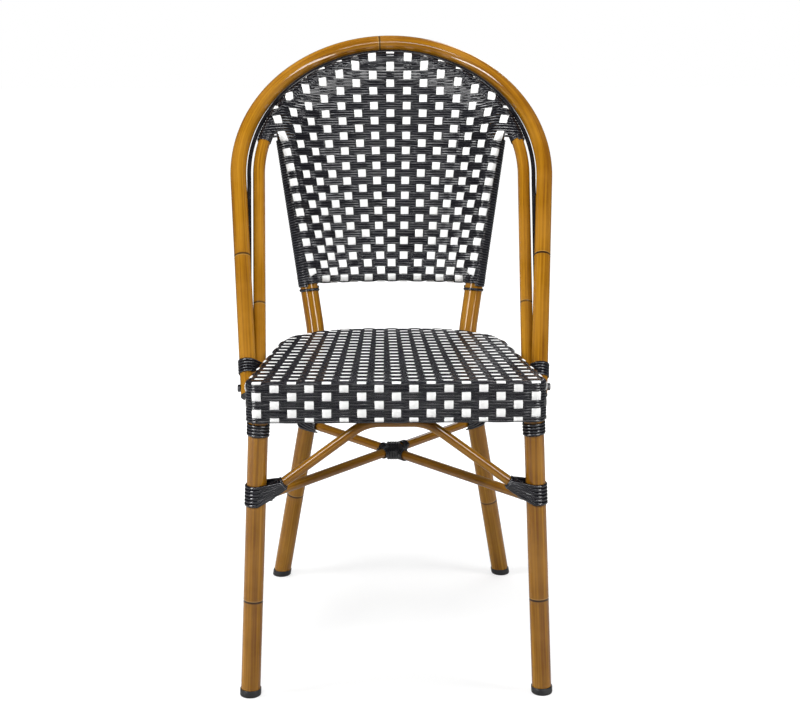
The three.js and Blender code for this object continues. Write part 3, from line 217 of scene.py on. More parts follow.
CHAIR_MIDDLE = (0, 0, 0.5)
for broad in (
        lamp("side_left", (-2.3, -0.7, 1.1), CHAIR_MIDDLE, 0.9, 1.8, 54),
        lamp("side_right", (2.3, -0.9, 1.2), CHAIR_MIDDLE, 0.9, 1.8, 46),
        lamp("front_high", (-0.5, -2.3, 3.0), CHAIR_MIDDLE, 1.3, 0.8, 78),
        lamp("overhead", (0, 0.4, 2.7), CHAIR_MIDDLE, 1.4, 1.0, 42)):
    broad.visible_glossy = False
for shine in (
        lamp("shine_left", (-1.1, -1.1, 0.82), CHAIR_MIDDLE, 0.25, 1.5, 24),
        lamp("shine_right", (1.0, -1.25, 0.95), CHAIR_MIDDLE, 0.3, 1.5, 22),
        lamp("shine_high", (-0.1, -2.1, 1.95), (0, 0.15, 0.65), 1.6, 0.3, 20),
        lamp("shine_rear", (0.6, 2.2, 1.8), CHAIR_MIDDLE, 0.4, 1.4, 8)):
    shine.visible_diffuse = False
    shine.visible_camera = False
print(len(bpy.data.lights), "lamps")

# %% [markdown]
# # Finishes
# An effect that several finishes share is a node group. Each finish has one Principled shader, and
# what is the same all over is set on its own sockets.

# %% Groups and finishes
FLOAT, VECTOR, COLOUR = "NodeSocketFloat", "NodeSocketVector", "NodeSocketColor"


def new_group(name, inputs, outputs):
    """An empty node group. Inputs and outputs give each socket's name, kind and starting value."""
    group = bpy.data.node_groups.new(name, "ShaderNodeTree")
    for socket, kind, value in inputs:
        made = group.interface.new_socket(socket, in_out="INPUT", socket_type=kind)
        if value is not None:
            made.default_value = value
    for socket, kind in outputs:
        group.interface.new_socket(socket, in_out="OUTPUT", socket_type=kind)
    return group, group.nodes.new("NodeGroupInput").outputs, group.nodes.new("NodeGroupOutput").inputs


def new_finish(name, **shader):
    material = bpy.data.materials.new(name)
    material.use_nodes = True
    tree = material.node_tree
    surface = tree.nodes["Principled BSDF"]
    for socket, value in shader.items():
        surface.inputs[socket.replace("_", " ")].default_value = value
    return material, tree, surface


def attribute(tree, name):
    return add_node(tree, "ShaderNodeAttribute", {"attribute_name": name}).outputs["Vector"]


def object_place(tree):
    return add_node(tree, "ShaderNodeTexCoord").outputs["Object"]


def relief(tree, surface, height, strength, distance):
    bumps = add_node(tree, "ShaderNodeBump", inputs={
        "Height": height, "Strength": strength, "Distance": distance})
    tree.links.new(bumps.outputs[0], surface.inputs["Normal"])


# %% [markdown]
# Painted bamboo and drawn plastic strand both have marks that run lengthwise. One group makes them
# from a place on the piece: noise that is fine across the length and long along it.

# %% Group for lengthwise marks
grain, given, result = new_group(
    "lengthwise_marks",
    [("Place", VECTOR, None), ("Across", FLOAT, 300.0), ("Along", FLOAT, 6.0), ("Low", FLOAT, 0.35),
     ("High", FLOAT, 0.65)],
    [("Mask", FLOAT)])
stretch = add_node(grain, "ShaderNodeCombineXYZ", inputs={
    "X": given["Across"], "Y": given["Across"], "Z": given["Along"]})
stretched = add_node(grain, "ShaderNodeVectorMath", {"operation": "MULTIPLY"},
                     {0: given["Place"], 1: stretch.outputs[0]})
marks = add_node(grain, "ShaderNodeTexNoise", inputs={
    "Vector": stretched.outputs[0], "Scale": 1.0, "Detail": 3.0, "Roughness": 0.6})
grain.links.new(rescale(grain, marks.outputs["Fac"], given["Low"], given["High"]), result["Mask"])


def marks_along(tree, place, across, along, low, high):
    return add_node(tree, "ShaderNodeGroup", {"node_tree": grain}, {
        "Place": place, "Across": across, "Along": along, "Low": low, "High": high}).outputs["Mask"]


def both_masks(tree, fine, broad):
    """Two masks added up, with a little more of the first."""
    return calculate(tree, "MULTIPLY_ADD", fine, 0.55, calculate(tree, "MULTIPLY", broad, 0.45))


# %% [markdown]
# Handling leaves faint cloudy patches on every surface, duller and a little off in colour. They are
# the same kind of mark everywhere, so they are one group too, used with different strengths.

# %% Group for worn patches
patches, given, result = new_group(
    "worn_patches",
    [("Colour", COLOUR, None), ("Worn", COLOUR, None), ("Size", FLOAT, 30.0), ("Amount", FLOAT, 0.3),
     ("Roughness", FLOAT, 0.3), ("Duller", FLOAT, 0.15)],
    [("Colour", COLOUR), ("Roughness", FLOAT)])
cloud = add_node(patches, "ShaderNodeTexNoise", inputs={
    "Vector": object_place(patches), "Scale": given["Size"], "Detail": 4.0})
cloudy = rescale(patches, cloud.outputs["Fac"], 0.42, 0.68)
share = calculate(patches, "MULTIPLY", cloudy, given["Amount"])
patches.links.new(mix_colours(patches, share, given["Colour"], given["Worn"]), result["Colour"])
patches.links.new(calculate(patches, "MULTIPLY_ADD", cloudy, given["Duller"], given["Roughness"]),
                  result["Roughness"])


def wear(tree, surface, colour, worn, size, amount, roughness, duller):
    """Gives the shader a colour and a roughness, both with the patches on them."""
    used = add_node(tree, "ShaderNodeGroup", {"node_tree": patches}, {
        "Colour": colour, "Worn": (*worn, 1), "Size": size, "Amount": amount, "Roughness": roughness,
        "Duller": duller})
    tree.links.new(used.outputs["Colour"], surface.inputs["Base Color"])
    tree.links.new(used.outputs["Roughness"], surface.inputs["Roughness"])


print(len(bpy.data.node_groups), "groups")

# %% [markdown]
# The bamboo look is golden lacquer with fine brown streaks along the tube. At each node of the cane
# there is a thin dark line, with a painted highlight beside it on one side: a pale line. The tubes carry
# two attributes: their place round and along the tube, and the distance to the nearest node.

# %% Bamboo lacquer
bamboo, tree, surface = new_finish(
    "bamboo_lacquer", Coat_Weight=0.85, Coat_Roughness=0.04, Specular_IOR_Level=0.06)
on_tube = attribute(tree, "on_tube")
fine = marks_along(tree, on_tube, 420.0, 5.0, 0.3, 0.72)
broad = marks_along(tree, on_tube, 90.0, 2.2, 0.36, 0.64)
tone = add_node(tree, "ShaderNodeValToRGB", inputs={"Fac": both_masks(tree, fine, broad)})
tone.color_ramp.elements.new(0.5)
for element, position, colour in zip(
        tone.color_ramp.elements, (0.08, 0.5, 0.95),
        ((0.12, 0.038, 0.002), (0.243, 0.1, 0.003), (0.38, 0.178, 0.01))):
    element.position = position
    element.color = (*colour, 1)
at_node = add_node(tree, "ShaderNodeSeparateXYZ", inputs={0: attribute(tree, "from_node")}).outputs
halo = rescale(tree, at_node["X"], 0.002, 0.009, 0.35, 0.0)
# The pale line on one side of each node is a painted highlight, lighter than the lacquer round it.
highlight_near_node = rescale(tree, at_node["X"], 0.0018, 0.0028, 1.0, 0.0)
painted_highlight = calculate(tree, "MULTIPLY", highlight_near_node, at_node["Y"], use_clamp=True)
line = rescale(tree, at_node["X"], 0.0013, 0.0019, 1.0, 0.0)
painted = tone.outputs["Color"]
for share, colour in ((halo, (0.2, 0.08, 0.008)), (painted_highlight, (0.42, 0.24, 0.06)), (line, (0.012, 0.006, 0.003))):
    painted = mix_colours(tree, share, painted, (*colour, 1))
wear(tree, surface, painted, (0.42, 0.2, 0.03), 14.0, 0.3, 0.28, 0.1)
relief(tree, surface, fine, 0.1, 0.0004)

# %% [markdown]
# The strands are drawn plastic. They have fine grooves along them, and each strand is slightly
# lighter or darker than the next. The dark strand shines more than the white one.

# %% Strand finishes
def strand_finish(name, dark, light, worn, roughness, groove, **shader):
    material, tree, surface = new_finish(name, **shader)
    on_strand = attribute(tree, "on_strand")
    lines = marks_along(tree, on_strand, 1500.0, 9.0, 0.3, 0.7)
    strand = add_node(tree, "ShaderNodeSeparateXYZ", inputs={0: on_strand}).outputs["Y"]
    own = add_node(tree, "ShaderNodeTexWhiteNoise", {"noise_dimensions": "1D"}, {"W": strand})
    shade = both_masks(tree, lines, own.outputs["Value"])
    colour = mix_colours(tree, shade, (*dark, 1), (*light, 1))
    wear(tree, surface, colour, worn, 22.0, 0.3, roughness, 0.12)
    relief(tree, surface, lines, groove, 0.0004)
    return material


dark_strand = strand_finish(
    "dark_strand", (0.003, 0.003, 0.005), (0.01, 0.01, 0.014), (0.016, 0.016, 0.02), 0.13, 0.3,
    Specular_IOR_Level=0.72)
white_strand = strand_finish(
    "white_strand", (0.8, 0.8, 0.79), (0.9, 0.9, 0.89), (0.78, 0.78, 0.76), 0.42, 0.25)

# %% [markdown]
# Caps, plugs and the cane are moulded or drawn black plastic with a very fine bead-blasted surface.
# The tubes and bars under the weave are bare metal with a fine grain, and the bolt heads are dark
# steel. These need only the shared groups and a fine noise.

# %% Plain finishes
def plain_finish(name, colour, worn, roughness, speckle, depth, **shader):
    material, tree, surface = new_finish(name, **shader)
    wear(tree, surface, (*colour, 1), worn, 40.0, 0.6, roughness, 0.15)
    noise = add_node(tree, "ShaderNodeTexNoise", inputs={
        "Vector": object_place(tree), "Scale": speckle, "Detail": 2.0})
    relief(tree, surface, noise.outputs["Fac"], depth, 0.0003)
    return material


black_plastic = plain_finish("black_plastic", (0.012, 0.012, 0.013), (0.03, 0.03, 0.03), 0.34, 1800.0, 0.35)
cane_black = plain_finish("cane_black", (0.006, 0.006, 0.008), (0.02, 0.02, 0.024), 0.16, 900.0, 0.08)
bare_metal = plain_finish(
    "bare_metal", (0.52, 0.53, 0.54), (0.4, 0.4, 0.41), 0.34, 700.0, 0.3, Metallic=1.0)
dark_steel = plain_finish(
    "dark_steel", (0.1, 0.1, 0.105), (0.17, 0.16, 0.15), 0.3, 900.0, 0.25, Metallic=1.0)
print(len(bpy.data.materials), "finishes so far")

# %% [markdown]
# The floor is plain and white. Part of its white shines by itself for the camera only, and further
# out all of it does. So it meets the surround without an edge, and the chair's shadow stays on it.

# %% Floor
deselect()
bpy.ops.mesh.primitive_plane_add(size=20, location=(0, 0, 0))
floor = bpy.context.object
floor.name = "floor"
floor_white, tree, surface = new_finish(
    "floor_white", Roughness=0.9, Specular_IOR_Level=0.0, Base_Color=(0.42, 0.42, 0.42, 1),
    Emission_Color=(1, 1, 1, 1))
distance = add_node(tree, "ShaderNodeVectorMath", {"operation": "LENGTH"}, {0: object_place(tree)})
glow = rescale(tree, distance.outputs["Value"], 0.35, 1.1, 0.62, 1.0)
seen = add_node(tree, "ShaderNodeLightPath").outputs["Is Camera Ray"]
tree.links.new(calculate(tree, "MULTIPLY", seen, glow), surface.inputs["Emission Strength"])
floor.data.materials.append(floor_white)

# %% [markdown]
# # Tubes
# A bent tube is made as a bender makes it: a ring of vertices is pulled straight with extrude, then
# carried round each bend with spin. At each node of the cane a few close rings make a low bead with a
# groove in it. The tube is a little thinner than drawn, so that the beads stay within the drawn
# radius. While it grows, the middle of each ring is noted, and from those the two attributes are
# worked out.

# %% Finishing a piece
def store(piece, name, values):
    made = piece.data.attributes.new(name, "FLOAT_VECTOR", "POINT")
    made.data.foreach_set("vector", np.asarray(values, np.float32).ravel())


def finished(piece, finish, replaced=None):
    """Gives a piece its finish, and lets it ride on the frame."""
    piece.data.materials.clear()
    piece.data.materials.append(finish)
    piece.data.name = piece.name
    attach(piece, "root")
    if replaced:
        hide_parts(replaced)
    print(piece.name, len(piece.data.polygons), "faces")


# %% [markdown]
# Each run of a tube is taken in steps. The rings of a node come between them, and a plain step that
# would fall close to one of these is left out.

# %% The tube bender
NODE_PROFILE = ((-9, 0), (-3.2, 0), (-1.8, 0.14), (-0.8, -0.2), (0.8, -0.2), (1.8, 0.14), (3.2, 0), (9, 0))
BODY_SHRINK = 0.25
NODE_MARGIN = 0.2
FARTHEST_NODE = 0.02


def note_tube(piece, stations, plane, nodes):
    """Stores each vertex's place on the tube, and its distance and side from the nearest node."""
    middles = to_frame([here for here, _, _ in stations])
    places = places_of(piece.data)
    nearest = np.array([np.argmin(((middles - place) ** 2).sum(1)) for place in places])
    ahead = np.array([tuple(direction) for _, direction, _ in stations])[nearest]
    along = np.array([travelled for _, _, travelled in stations])[nearest]
    spoke = places - middles[nearest]
    first = np.array(plane if plane is not None else (0.3, 1.0, 0.2), float)
    first = unit(first - (ahead @ first)[:, None] * ahead)
    second = np.cross(ahead, first)
    store(piece, "on_tube", np.stack([(spoke * first).sum(1), (spoke * second).sum(1), along * MM], axis=1))
    apart = along[:, None] - np.array(list(nodes) or [1e6])[None, :]
    closest = apart[np.arange(len(along)), np.abs(apart).argmin(1)]
    distance = np.minimum(np.abs(closest) * MM, FARTHEST_NODE)
    store(piece, "from_node", np.stack([distance, np.sign(closest), 0 * distance], axis=1))


def bent_tube(replaced, start, direction, runs, radius, nodes=(), bend_step=5.0, sides=32):
    """runs are ("straight", length) and ("bend", radius, towards, angle), in millimetres."""
    here, ahead = Vector(start), Vector(direction).normalized()
    body = radius - BODY_SHRINK
    deselect()
    bpy.ops.mesh.primitive_circle_add(
        vertices=sides, radius=body * MM, location=to_frame(here),
        rotation=Vector(UPWARDS).rotation_difference(ahead).to_euler())
    piece = bpy.context.object
    piece.name = f"{replaced}_tube"
    bpy.ops.object.mode_set(mode="EDIT")
    loops = sorted((node + offset, body + rise) for node in nodes for offset, rise in NODE_PROFILE)
    stations, travelled, now = [(here.copy(), ahead.copy(), 0.0)], 0.0, body
    plane = None
    for run in runs:
        length = run[1] if run[0] == "straight" else run[1] * run[3]
        steps = 1 if run[0] == "straight" else math.ceil(length / bend_step)
        stops = [(length * (i + 1) / steps, None) for i in range(steps)]
        near = [stop for stop in stops if stop[0] < length and any(
            abs(travelled + stop[0] - at) < bend_step / 2 for at, _ in loops)]
        stops = [stop for stop in stops if stop not in near]
        stops += [(at - travelled, size) for at, size in loops
                  if NODE_MARGIN < at - travelled < length - NODE_MARGIN]
        done = 0.0
        for stop, size in sorted(stops, key=lambda item: item[0]):
            step = stop - done
            if run[0] == "straight":
                bpy.ops.mesh.extrude_edges_move(TRANSFORM_OT_translate={"value": ahead * step * MM})
                here = here + ahead * step
            else:
                towards = run[2] if done == 0 else towards
                axis = ahead.cross(towards).normalized()
                plane = plane or axis
                centre = here + towards * run[1]
                turn = step / run[1]
                bpy.ops.mesh.spin(steps=1, dupli=False, angle=-turn, center=to_frame(centre), axis=axis)
                back = here - centre
                here = centre + back * math.cos(turn) + axis.cross(back) * math.sin(turn)
                ahead = (ahead * math.cos(turn) + axis.cross(ahead) * math.sin(turn)).normalized()
                towards = (centre - here).normalized()
            wanted = size or body
            if abs(wanted - now) > 1e-6:
                grow = wanted / now
                bpy.ops.transform.resize(value=(grow, grow, grow), center_override=to_frame(here))
                now = wanted
            done = stop
            stations.append((here.copy(), ahead.copy(), travelled + done))
        travelled += length
    bpy.ops.mesh.select_all(action="SELECT")
    bpy.ops.mesh.fill_holes(sides=0)
    settle(piece)
    note_tube(piece, stations, plane, nodes)
    finished(piece, bamboo, replaced)


def tube_through(replaced, points, bends, radius, nodes=(), **fineness):
    """A tube through corner points, each of them rounded with a bend."""
    here, runs = points[0], []
    for before, corner, after, bend in zip(points, points[1:], points[2:], bends):
        arriving, leaving = (corner - before).normalized(), (after - corner).normalized()
        angle = arriving.angle(leaving)
        reach = bend * math.tan(angle / 2)
        towards = (leaving - arriving * leaving.dot(arriving)).normalized()
        runs += [("straight", (corner - here).length - reach), ("bend", bend, towards, angle)]
        here = corner + leaving * reach
    runs.append(("straight", (points[-1] - here).length))
    bent_tube(replaced, points[0], points[1] - points[0], runs, radius, nodes, **fineness)


# %% [markdown]
# Each arch is a round bow on two straight legs that meet it without a kink. The legs draw in a little
# towards their feet, so the bow is more than half a circle. The outer arch has a node at its crown
# and one on each leg; the inner arch has one on each leg.

# %% Arches
class Hoop:
    def __init__(self, foot, top, radius):
        self.foot, self.top, self.radius = Vector(foot), Vector(top), radius
        rise = self.top - Vector((0, self.foot.y, self.foot.z))
        self.up = rise.normalized()
        self.centre = self.top - self.up * radius
        centre_rise = rise.length - radius
        self.tilt = math.asin(radius / math.hypot(self.foot.x, centre_rise)) - math.atan2(
            self.foot.x, centre_rise)
        self.bend = math.pi + 2 * self.tilt
        self.bend_start = self.on_circle(-self.tilt)
        self.leg_direction = (self.bend_start - self.foot).normalized()
        self.leg_length = (self.bend_start - self.foot).length
        self.length = 2 * self.leg_length + radius * self.bend

    def on_circle(self, angle):
        return self.centre + Vector((1, 0, 0)) * self.radius * math.cos(angle) + (
            self.up * self.radius * math.sin(angle))

    def runs(self):
        towards = (self.centre - self.bend_start).normalized()
        leg = ("straight", self.leg_length)
        return [leg, ("bend", self.radius, towards, self.bend), leg]

    def across_from(self, place, axis):
        level = (place - self.foot).dot(axis) / self.leg_direction.dot(axis)
        return self.foot + self.leg_direction * level


OUTER_TUBE_RADIUS = 12.5
INNER_TUBE_RADIUS = 9.5
outer = Hoop((209.768, 151, 398), (0, 539.291, 877.5), 236)
inner = Hoop((195.931, 173.5, 398), (0, 519.531, 853.098), 204.6)
OUTER_NODE, CROWN_NODE_ASIDE, INNER_NODE = 229, 17, 141
bent_tube("outer_arch", outer.foot, outer.leg_direction, outer.runs(), OUTER_TUBE_RADIUS,
          (OUTER_NODE, outer.length / 2 + CROWN_NODE_ASIDE, outer.length - OUTER_NODE), bend_step=9.0)
bent_tube("inner_arch", inner.foot, inner.leg_direction, inner.runs(), INNER_TUBE_RADIUS,
          (INNER_NODE, inner.length - INNER_NODE), bend_step=9.0)

# %% [markdown]
# The front legs are straight and lean in slightly. Each rear leg runs up beside the seat, bends, and
# goes on as the post of the back until it meets the inner arch.

# %% Legs
LEG_RADIUS = 14
LEG_BEND = 150
CAP_HEIGHT = 11
FRONT_TUBE_TOP = 409
POST_INTO_ARCH = 2
FRONT_NODE = 132
REAR_NODES = {"right": 135, "left": 150}
FRONT_FOOT = Vector((206.503, 0, 0))
FRONT_LEG_TOP = Vector((184.823, 0, 461))
REAR_FOOT = Vector((184.5, 476, 0))
KNEE = Vector((119.397, 386.758, 375.532))
HIP = Vector((119.397, 389.567, 437.468))
POST_TOP = Vector((171.592, 463.141, 778.934))
front_direction = (FRONT_LEG_TOP - FRONT_FOOT).normalized()
rear_direction = (KNEE - REAR_FOOT).normalized()
post_direction = (POST_TOP - HIP).normalized()


def at_height(foot, direction, height):
    return foot + direction * ((height - foot.z) / direction.z)


def other_side(place):
    return Vector((-place.x, place.y, place.z))


BOTH_SIDES = (("right", lambda place: place), ("left", other_side))
post_end = POST_TOP - post_direction * (INNER_TUBE_RADIUS - POST_INTO_ARCH)
for side, turned in BOTH_SIDES:
    ends = (CAP_HEIGHT, FRONT_TUBE_TOP)
    corners = [turned(at_height(FRONT_FOOT, front_direction, height)) for height in ends]
    tube_through(f"front_leg_{side}", corners, (), LEG_RADIUS, (FRONT_NODE,))
    corners = [turned(v) for v in (at_height(REAR_FOOT, rear_direction, CAP_HEIGHT), KNEE, HIP, post_end)]
    tube_through(f"rear_leg_{side}", corners, (LEG_BEND, LEG_BEND), LEG_RADIUS, (REAR_NODES[side],))

# %% [markdown]
# The front brace rises from both front legs to a flat top under the seat. The two cross braces run
# from each front leg to the opposite rear leg; one is in two halves that end on the other.

# %% Braces
BRACE_RADIUS = 7
BRACE_BEND = 60
SHORT_OF_AXIS = 9
LONG_REAR_HEIGHT = 287.5
SHORT_DROP = 3.5
BRACE_FOOT = Vector((193.053, 0, 286))
BRACE_SHOULDER = Vector((42, 0, 399.394))
brace_direction = (BRACE_SHOULDER - BRACE_FOOT).normalized()
brace_start = BRACE_FOOT + brace_direction * SHORT_OF_AXIS
corners = [brace_start, BRACE_SHOULDER, other_side(BRACE_SHOULDER), other_side(brace_start)]
tube_through("front_brace", corners, (BRACE_BEND, BRACE_BEND), BRACE_RADIUS, bend_step=3.0, sides=24)

LONG_ENDS = (Vector((-192.818, 0, 291)), Vector((134.658, 407.678, 287.5)))
SHORT_ENDS = (Vector((192.983, 0, 287.5)), Vector((-135.265, 408.51, 284)))


def crossing_of(ends):
    return ends[0].lerp(ends[1], ends[0].x / (ends[0].x - ends[1].x))


def cross_brace(replaced, start, end, trim_start, trim_end):
    ahead = (end - start).normalized()
    first, last = start + ahead * trim_start, end - ahead * trim_end
    bent_tube(replaced, first, ahead, [("straight", (last - first).length)], BRACE_RADIUS, sides=24)


cross_brace("cross_brace_long", *LONG_ENDS, SHORT_OF_AXIS, SHORT_OF_AXIS)
crossing = crossing_of(SHORT_ENDS)
cross_brace("cross_brace_front_half", SHORT_ENDS[0], crossing, SHORT_OF_AXIS, BRACE_RADIUS - 1)
cross_brace("cross_brace_rear_half", crossing, SHORT_ENDS[1], BRACE_RADIUS - 1, SHORT_OF_AXIS)

# %% [markdown]
# # Caps, plugs and bolts
# A foot cap is a short black cup. It starts as a cylinder that stands on the floor. Its top is slid
# along the slant of the leg and inset to make a lip, and its lower edge is bevelled where it rolls on
# the floor. The end plugs of the arches and the bolt heads are made in the same way.

# %% Foot caps
CAP_RADIUS = 15
CAP_WALL = 0.9
CAP_LIP = 1.2


def cylinder(name, place, outwards, radius, height, sides):
    """A cylinder that stands on a place and looks outwards, in edit mode."""
    deselect()
    bpy.ops.mesh.primitive_cylinder_add(
        vertices=sides, radius=radius * MM, depth=height * MM,
        location=to_frame(place + outwards * height / 2),
        rotation=Vector(UPWARDS).rotation_difference(outwards).to_euler())
    piece = bpy.context.object
    piece.name = name
    edit(piece)
    return piece


def bevel_where(piece, wanted, offset, segments=4):
    select_vertices(piece, wanted)
    bpy.ops.mesh.bevel(offset=offset * MM, segments=segments, affect="EDGES")


def sink_face(inset, move):
    """Insets the chosen face and pulls what is left of it inwards."""
    bpy.ops.mesh.select_mode(type="FACE")
    bpy.ops.mesh.inset(thickness=inset * MM)
    bpy.ops.mesh.extrude_region_move(TRANSFORM_OT_translate={"value": move * MM})
    bpy.ops.mesh.select_mode(type="VERT")


def foot_cap(replaced, foot, direction):
    piece = cylinder(f"{replaced}_moulded", foot, Vector(UPWARDS), CAP_RADIUS, CAP_HEIGHT, 48)
    select_vertices(piece, lambda place: place.z > 0.5 * CAP_HEIGHT * MM)
    slide = direction * (CAP_HEIGHT / direction.z)
    bpy.ops.transform.translate(value=(slide.x * MM, slide.y * MM, 0))
    sink_face(CAP_WALL, Vector((0, 0, -CAP_LIP)))
    bevel_where(piece, lambda place: place.z < 0.1 * CAP_HEIGHT * MM, 2.6)
    bevel_where(piece, lambda place: place.z > 0.97 * CAP_HEIGHT * MM, 0.4, 2)
    settle(piece, smooth_angle=30)
    finished(piece, black_plastic, replaced)


for side, turned in BOTH_SIDES:
    foot_cap(f"front_foot_cap_{side}", turned(FRONT_FOOT), turned(front_direction))
    foot_cap(f"rear_foot_cap_{side}", turned(REAR_FOOT), turned(rear_direction))

# %% [markdown]
# A plug closes each end of both arches, and a bolt with a round socket in its head holds the outer
# arch on each side of the seat.

# %% Plugs and bolt heads
def disc(name, place, outwards, radius, height, dome, finish, replaced, socket=0.0):
    """A short round piece that looks outwards, with a domed edge and, for a bolt, a socket in it."""
    outwards = Vector(outwards).normalized()
    piece = cylinder(name, place, outwards, radius, height, 36)
    edge = Vector(to_frame(place + outwards * height * 0.9))
    bevel_where(piece, lambda at: (at - edge).dot(outwards) > 0, dome)
    if socket:
        face = Vector(to_frame(place + outwards * height))
        select_vertices(piece, lambda at: abs((at - face).dot(outwards)) < 1e-5)
        sink_face(radius - dome - socket, outwards * -BOLT_SOCKET_DEPTH)
    settle(piece, smooth_angle=40)
    finished(piece, finish, replaced)


BOLT_HEIGHT = 407
BOLT_SOCKET_DEPTH = 1.8
PLUG_LENGTH, PLUG_DOME = 2.9, 1.4
HEAD_RADIUS, HEAD_LENGTH, HEAD_DOME, SOCKET_RADIUS = 5.5, 4, 1.6, 2.0
level = (BOLT_HEIGHT - outer.foot.z) / outer.leg_direction.z
bolt = outer.foot + outer.leg_direction * level + Vector((OUTER_TUBE_RADIUS - 0.1, 0, 0))
for side, turned in BOTH_SIDES:
    for name, hoop, tube_radius in (("outer_arch", outer, OUTER_TUBE_RADIUS),
                                    ("inner_arch", inner, INNER_TUBE_RADIUS)):
        disc(f"{name}_end_{side}", turned(hoop.foot), -turned(hoop.leg_direction), tube_radius,
             PLUG_LENGTH, PLUG_DOME, black_plastic, f"{name}_plug_{side}")
    disc(f"arch_bolt_head_{side}", turned(bolt), turned(Vector((1, 0, 0))), HEAD_RADIUS, HEAD_LENGTH,
         HEAD_DOME, dark_steel, f"arch_bolt_{side}", socket=SOCKET_RADIUS)

# %% [markdown]
# # Strands
# Everything that is wound or woven is a long strand that follows a path: the windings, the cane, and
# the woven seat and back. The blank is a short piece of strand: a ring of vertices, extruded once.
# One array makes it as long as needed and a second lays as many side by side as the panel has. Then
# each strand of the blank is laid on its own path. No operator can lay hundreds of strands over and
# under each other, so that last step moves the vertices by number.

# %% The blank
BLANK_STEP = 4
ROUND_CORNERS = 16


def repeat(piece, number, step, merge):
    copies = piece.modifiers.new("copies", "ARRAY")
    copies.count = number
    copies.use_relative_offset = False
    copies.use_constant_offset = True
    copies.constant_offset_displace = step
    copies.use_merge_vertices = merge
    copies.merge_threshold = 0.001
    bpy.ops.object.modifier_apply(modifier=copies.name)


def strand_blank(name, rings, count, corners):
    deselect()
    bpy.ops.mesh.primitive_circle_add(vertices=corners, radius=1, rotation=(0, math.pi / 2, 0))
    piece = bpy.context.object
    piece.name = name
    bpy.ops.object.transform_apply(rotation=True)
    bpy.ops.object.mode_set(mode="EDIT")
    bpy.ops.mesh.extrude_edges_move(TRANSFORM_OT_translate={"value": (1, 0, 0)})
    bpy.ops.object.mode_set(mode="OBJECT")
    repeat(piece, rings - 1, (1, 0, 0), True)
    edit(piece)
    bpy.ops.mesh.select_all(action="SELECT")
    bpy.ops.mesh.fill_holes(sides=0)
    bpy.ops.mesh.select_all(action="SELECT")
    bpy.ops.mesh.normals_make_consistent(inside=False)
    bpy.ops.object.mode_set(mode="OBJECT")
    repeat(piece, count, (0, BLANK_STEP, 0), False)
    return piece


def lay_strands(name, courses, width, thickness, fullness, finish, slot, corners=6, replaced=None):
    """courses are (middles, outs) of each strand, in millimetres, all with as many stations.

    A course may also hold how high the surface lies under its two edges, for a draped strand.
    fullness says how flat the strand is: how far out its top reaches, as a share of its width.
    """
    piece = strand_blank(name, len(courses[0][0]), len(courses), corners)
    blank = places_of(piece.data)
    strand = np.rint(blank[:, 1] / BLANK_STEP).astype(int)
    ring = np.rint(blank[:, 0]).astype(int)
    across, up = blank[:, 1] - BLANK_STEP * strand, blank[:, 2]
    if corners < ROUND_CORNERS:
        up = up / up.max()
        inner_corner = (np.abs(across) < 0.9) & (np.abs(across) > 0.1)
        up = np.where(inner_corner, np.sign(up), up)
        across = np.where(inner_corner, np.sign(across) * fullness, across)
    middles = np.array([course[0] for course in courses], float)
    outs = np.array([course[1] for course in courses], float)
    ahead = unit(np.gradient(middles, axis=1))
    sides = unit(np.cross(outs, ahead))
    outs = np.cross(ahead, sides)
    laid = (middles[strand, ring] + sides[strand, ring] * (across * width / 2)[:, None]
            + outs[strand, ring] * (up * thickness / 2)[:, None])
    if len(courses[0]) == 3:
        edges = np.array([course[2] for course in courses], float)[strand, ring]
        laid += outs[strand, ring] * (np.where(across > 0, edges[:, 1], edges[:, 0]) * across ** 2)[:, None]
    steps = np.linalg.norm(np.diff(middles, axis=1), axis=2)
    along = np.concatenate([np.zeros((len(courses), 1)), np.cumsum(steps, axis=1)], axis=1)
    piece.data.vertices.foreach_set("co", to_frame(laid).astype(np.float32).ravel())
    store(piece, "on_strand", np.stack([
        across * width / 2 * MM, strand * 0.37, along[strand, ring] * MM], axis=1))
    piece.data.update()
    activate(piece)
    bpy.ops.object.shade_smooth()
    finished(piece, finish, replaced)


# %% [markdown]
# # Windings
# At each joint a flat strip is wound tight round the tubes. A winding's path is worked out turn by
# turn. It starts clear of the tube by half the strip's thickness. On the front brace the winding is a
# funnel: wide against the leg and narrowing along the brace. At the feet of the arches the strip goes
# round both tubes at once, and runs straight from one to the other.

# %% Winding paths
STRIP_WIDTH = 4.3
STRIP_THICKNESS = 1.7
STRIP_PITCH = 4.4
WOUND_CLEAR = 0.15 + STRIP_THICKNESS / 2
FIT_GAP = 0.3
TURN_STEPS = 28
ARCH_TURNS, ARCH_TURN_STEPS = 5, 48
STRIP = {"width": STRIP_WIDTH, "thickness": STRIP_THICKNESS, "fullness": 0.35, "finish": dark_strand,
         "slot": "black_strand"}


def round_turns(start, axis, tube_radius, side, turns, step_after=1e6, step_length=0.0, flare=0.0):
    """Turns round a straight tube. flare is how much wider than the tube the first turn is.

    After some turns the strip may step on along the tube, to pass something that crosses it.
    """
    start, axis = np.array(start, float), unit(axis)
    facing = np.array(side, float)
    facing = unit(facing - facing.dot(axis) * axis)
    aside = np.cross(axis, facing)
    t = np.linspace(0, turns, int(turns * TURN_STEPS) + 1)
    angle = 2 * math.pi * t - math.pi / 2
    out = np.cos(angle)[:, None] * facing + np.sin(angle)[:, None] * aside
    share = np.clip((t - step_after) / 0.5, 0, 1)
    forward = t * STRIP_PITCH + step_length * (1 - np.cos(math.pi * share)) / 2
    reach = tube_radius + WOUND_CLEAR + flare * (1 - t / turns) ** 1.6
    return start + forward[:, None] * axis + reach[:, None] * out, out


def winding(replaced, path):
    lay_strands(f"{replaced}_strip", [path], replaced=replaced, **STRIP)


def mirror_path(path):
    return tuple(part * MIRROR for part in path)


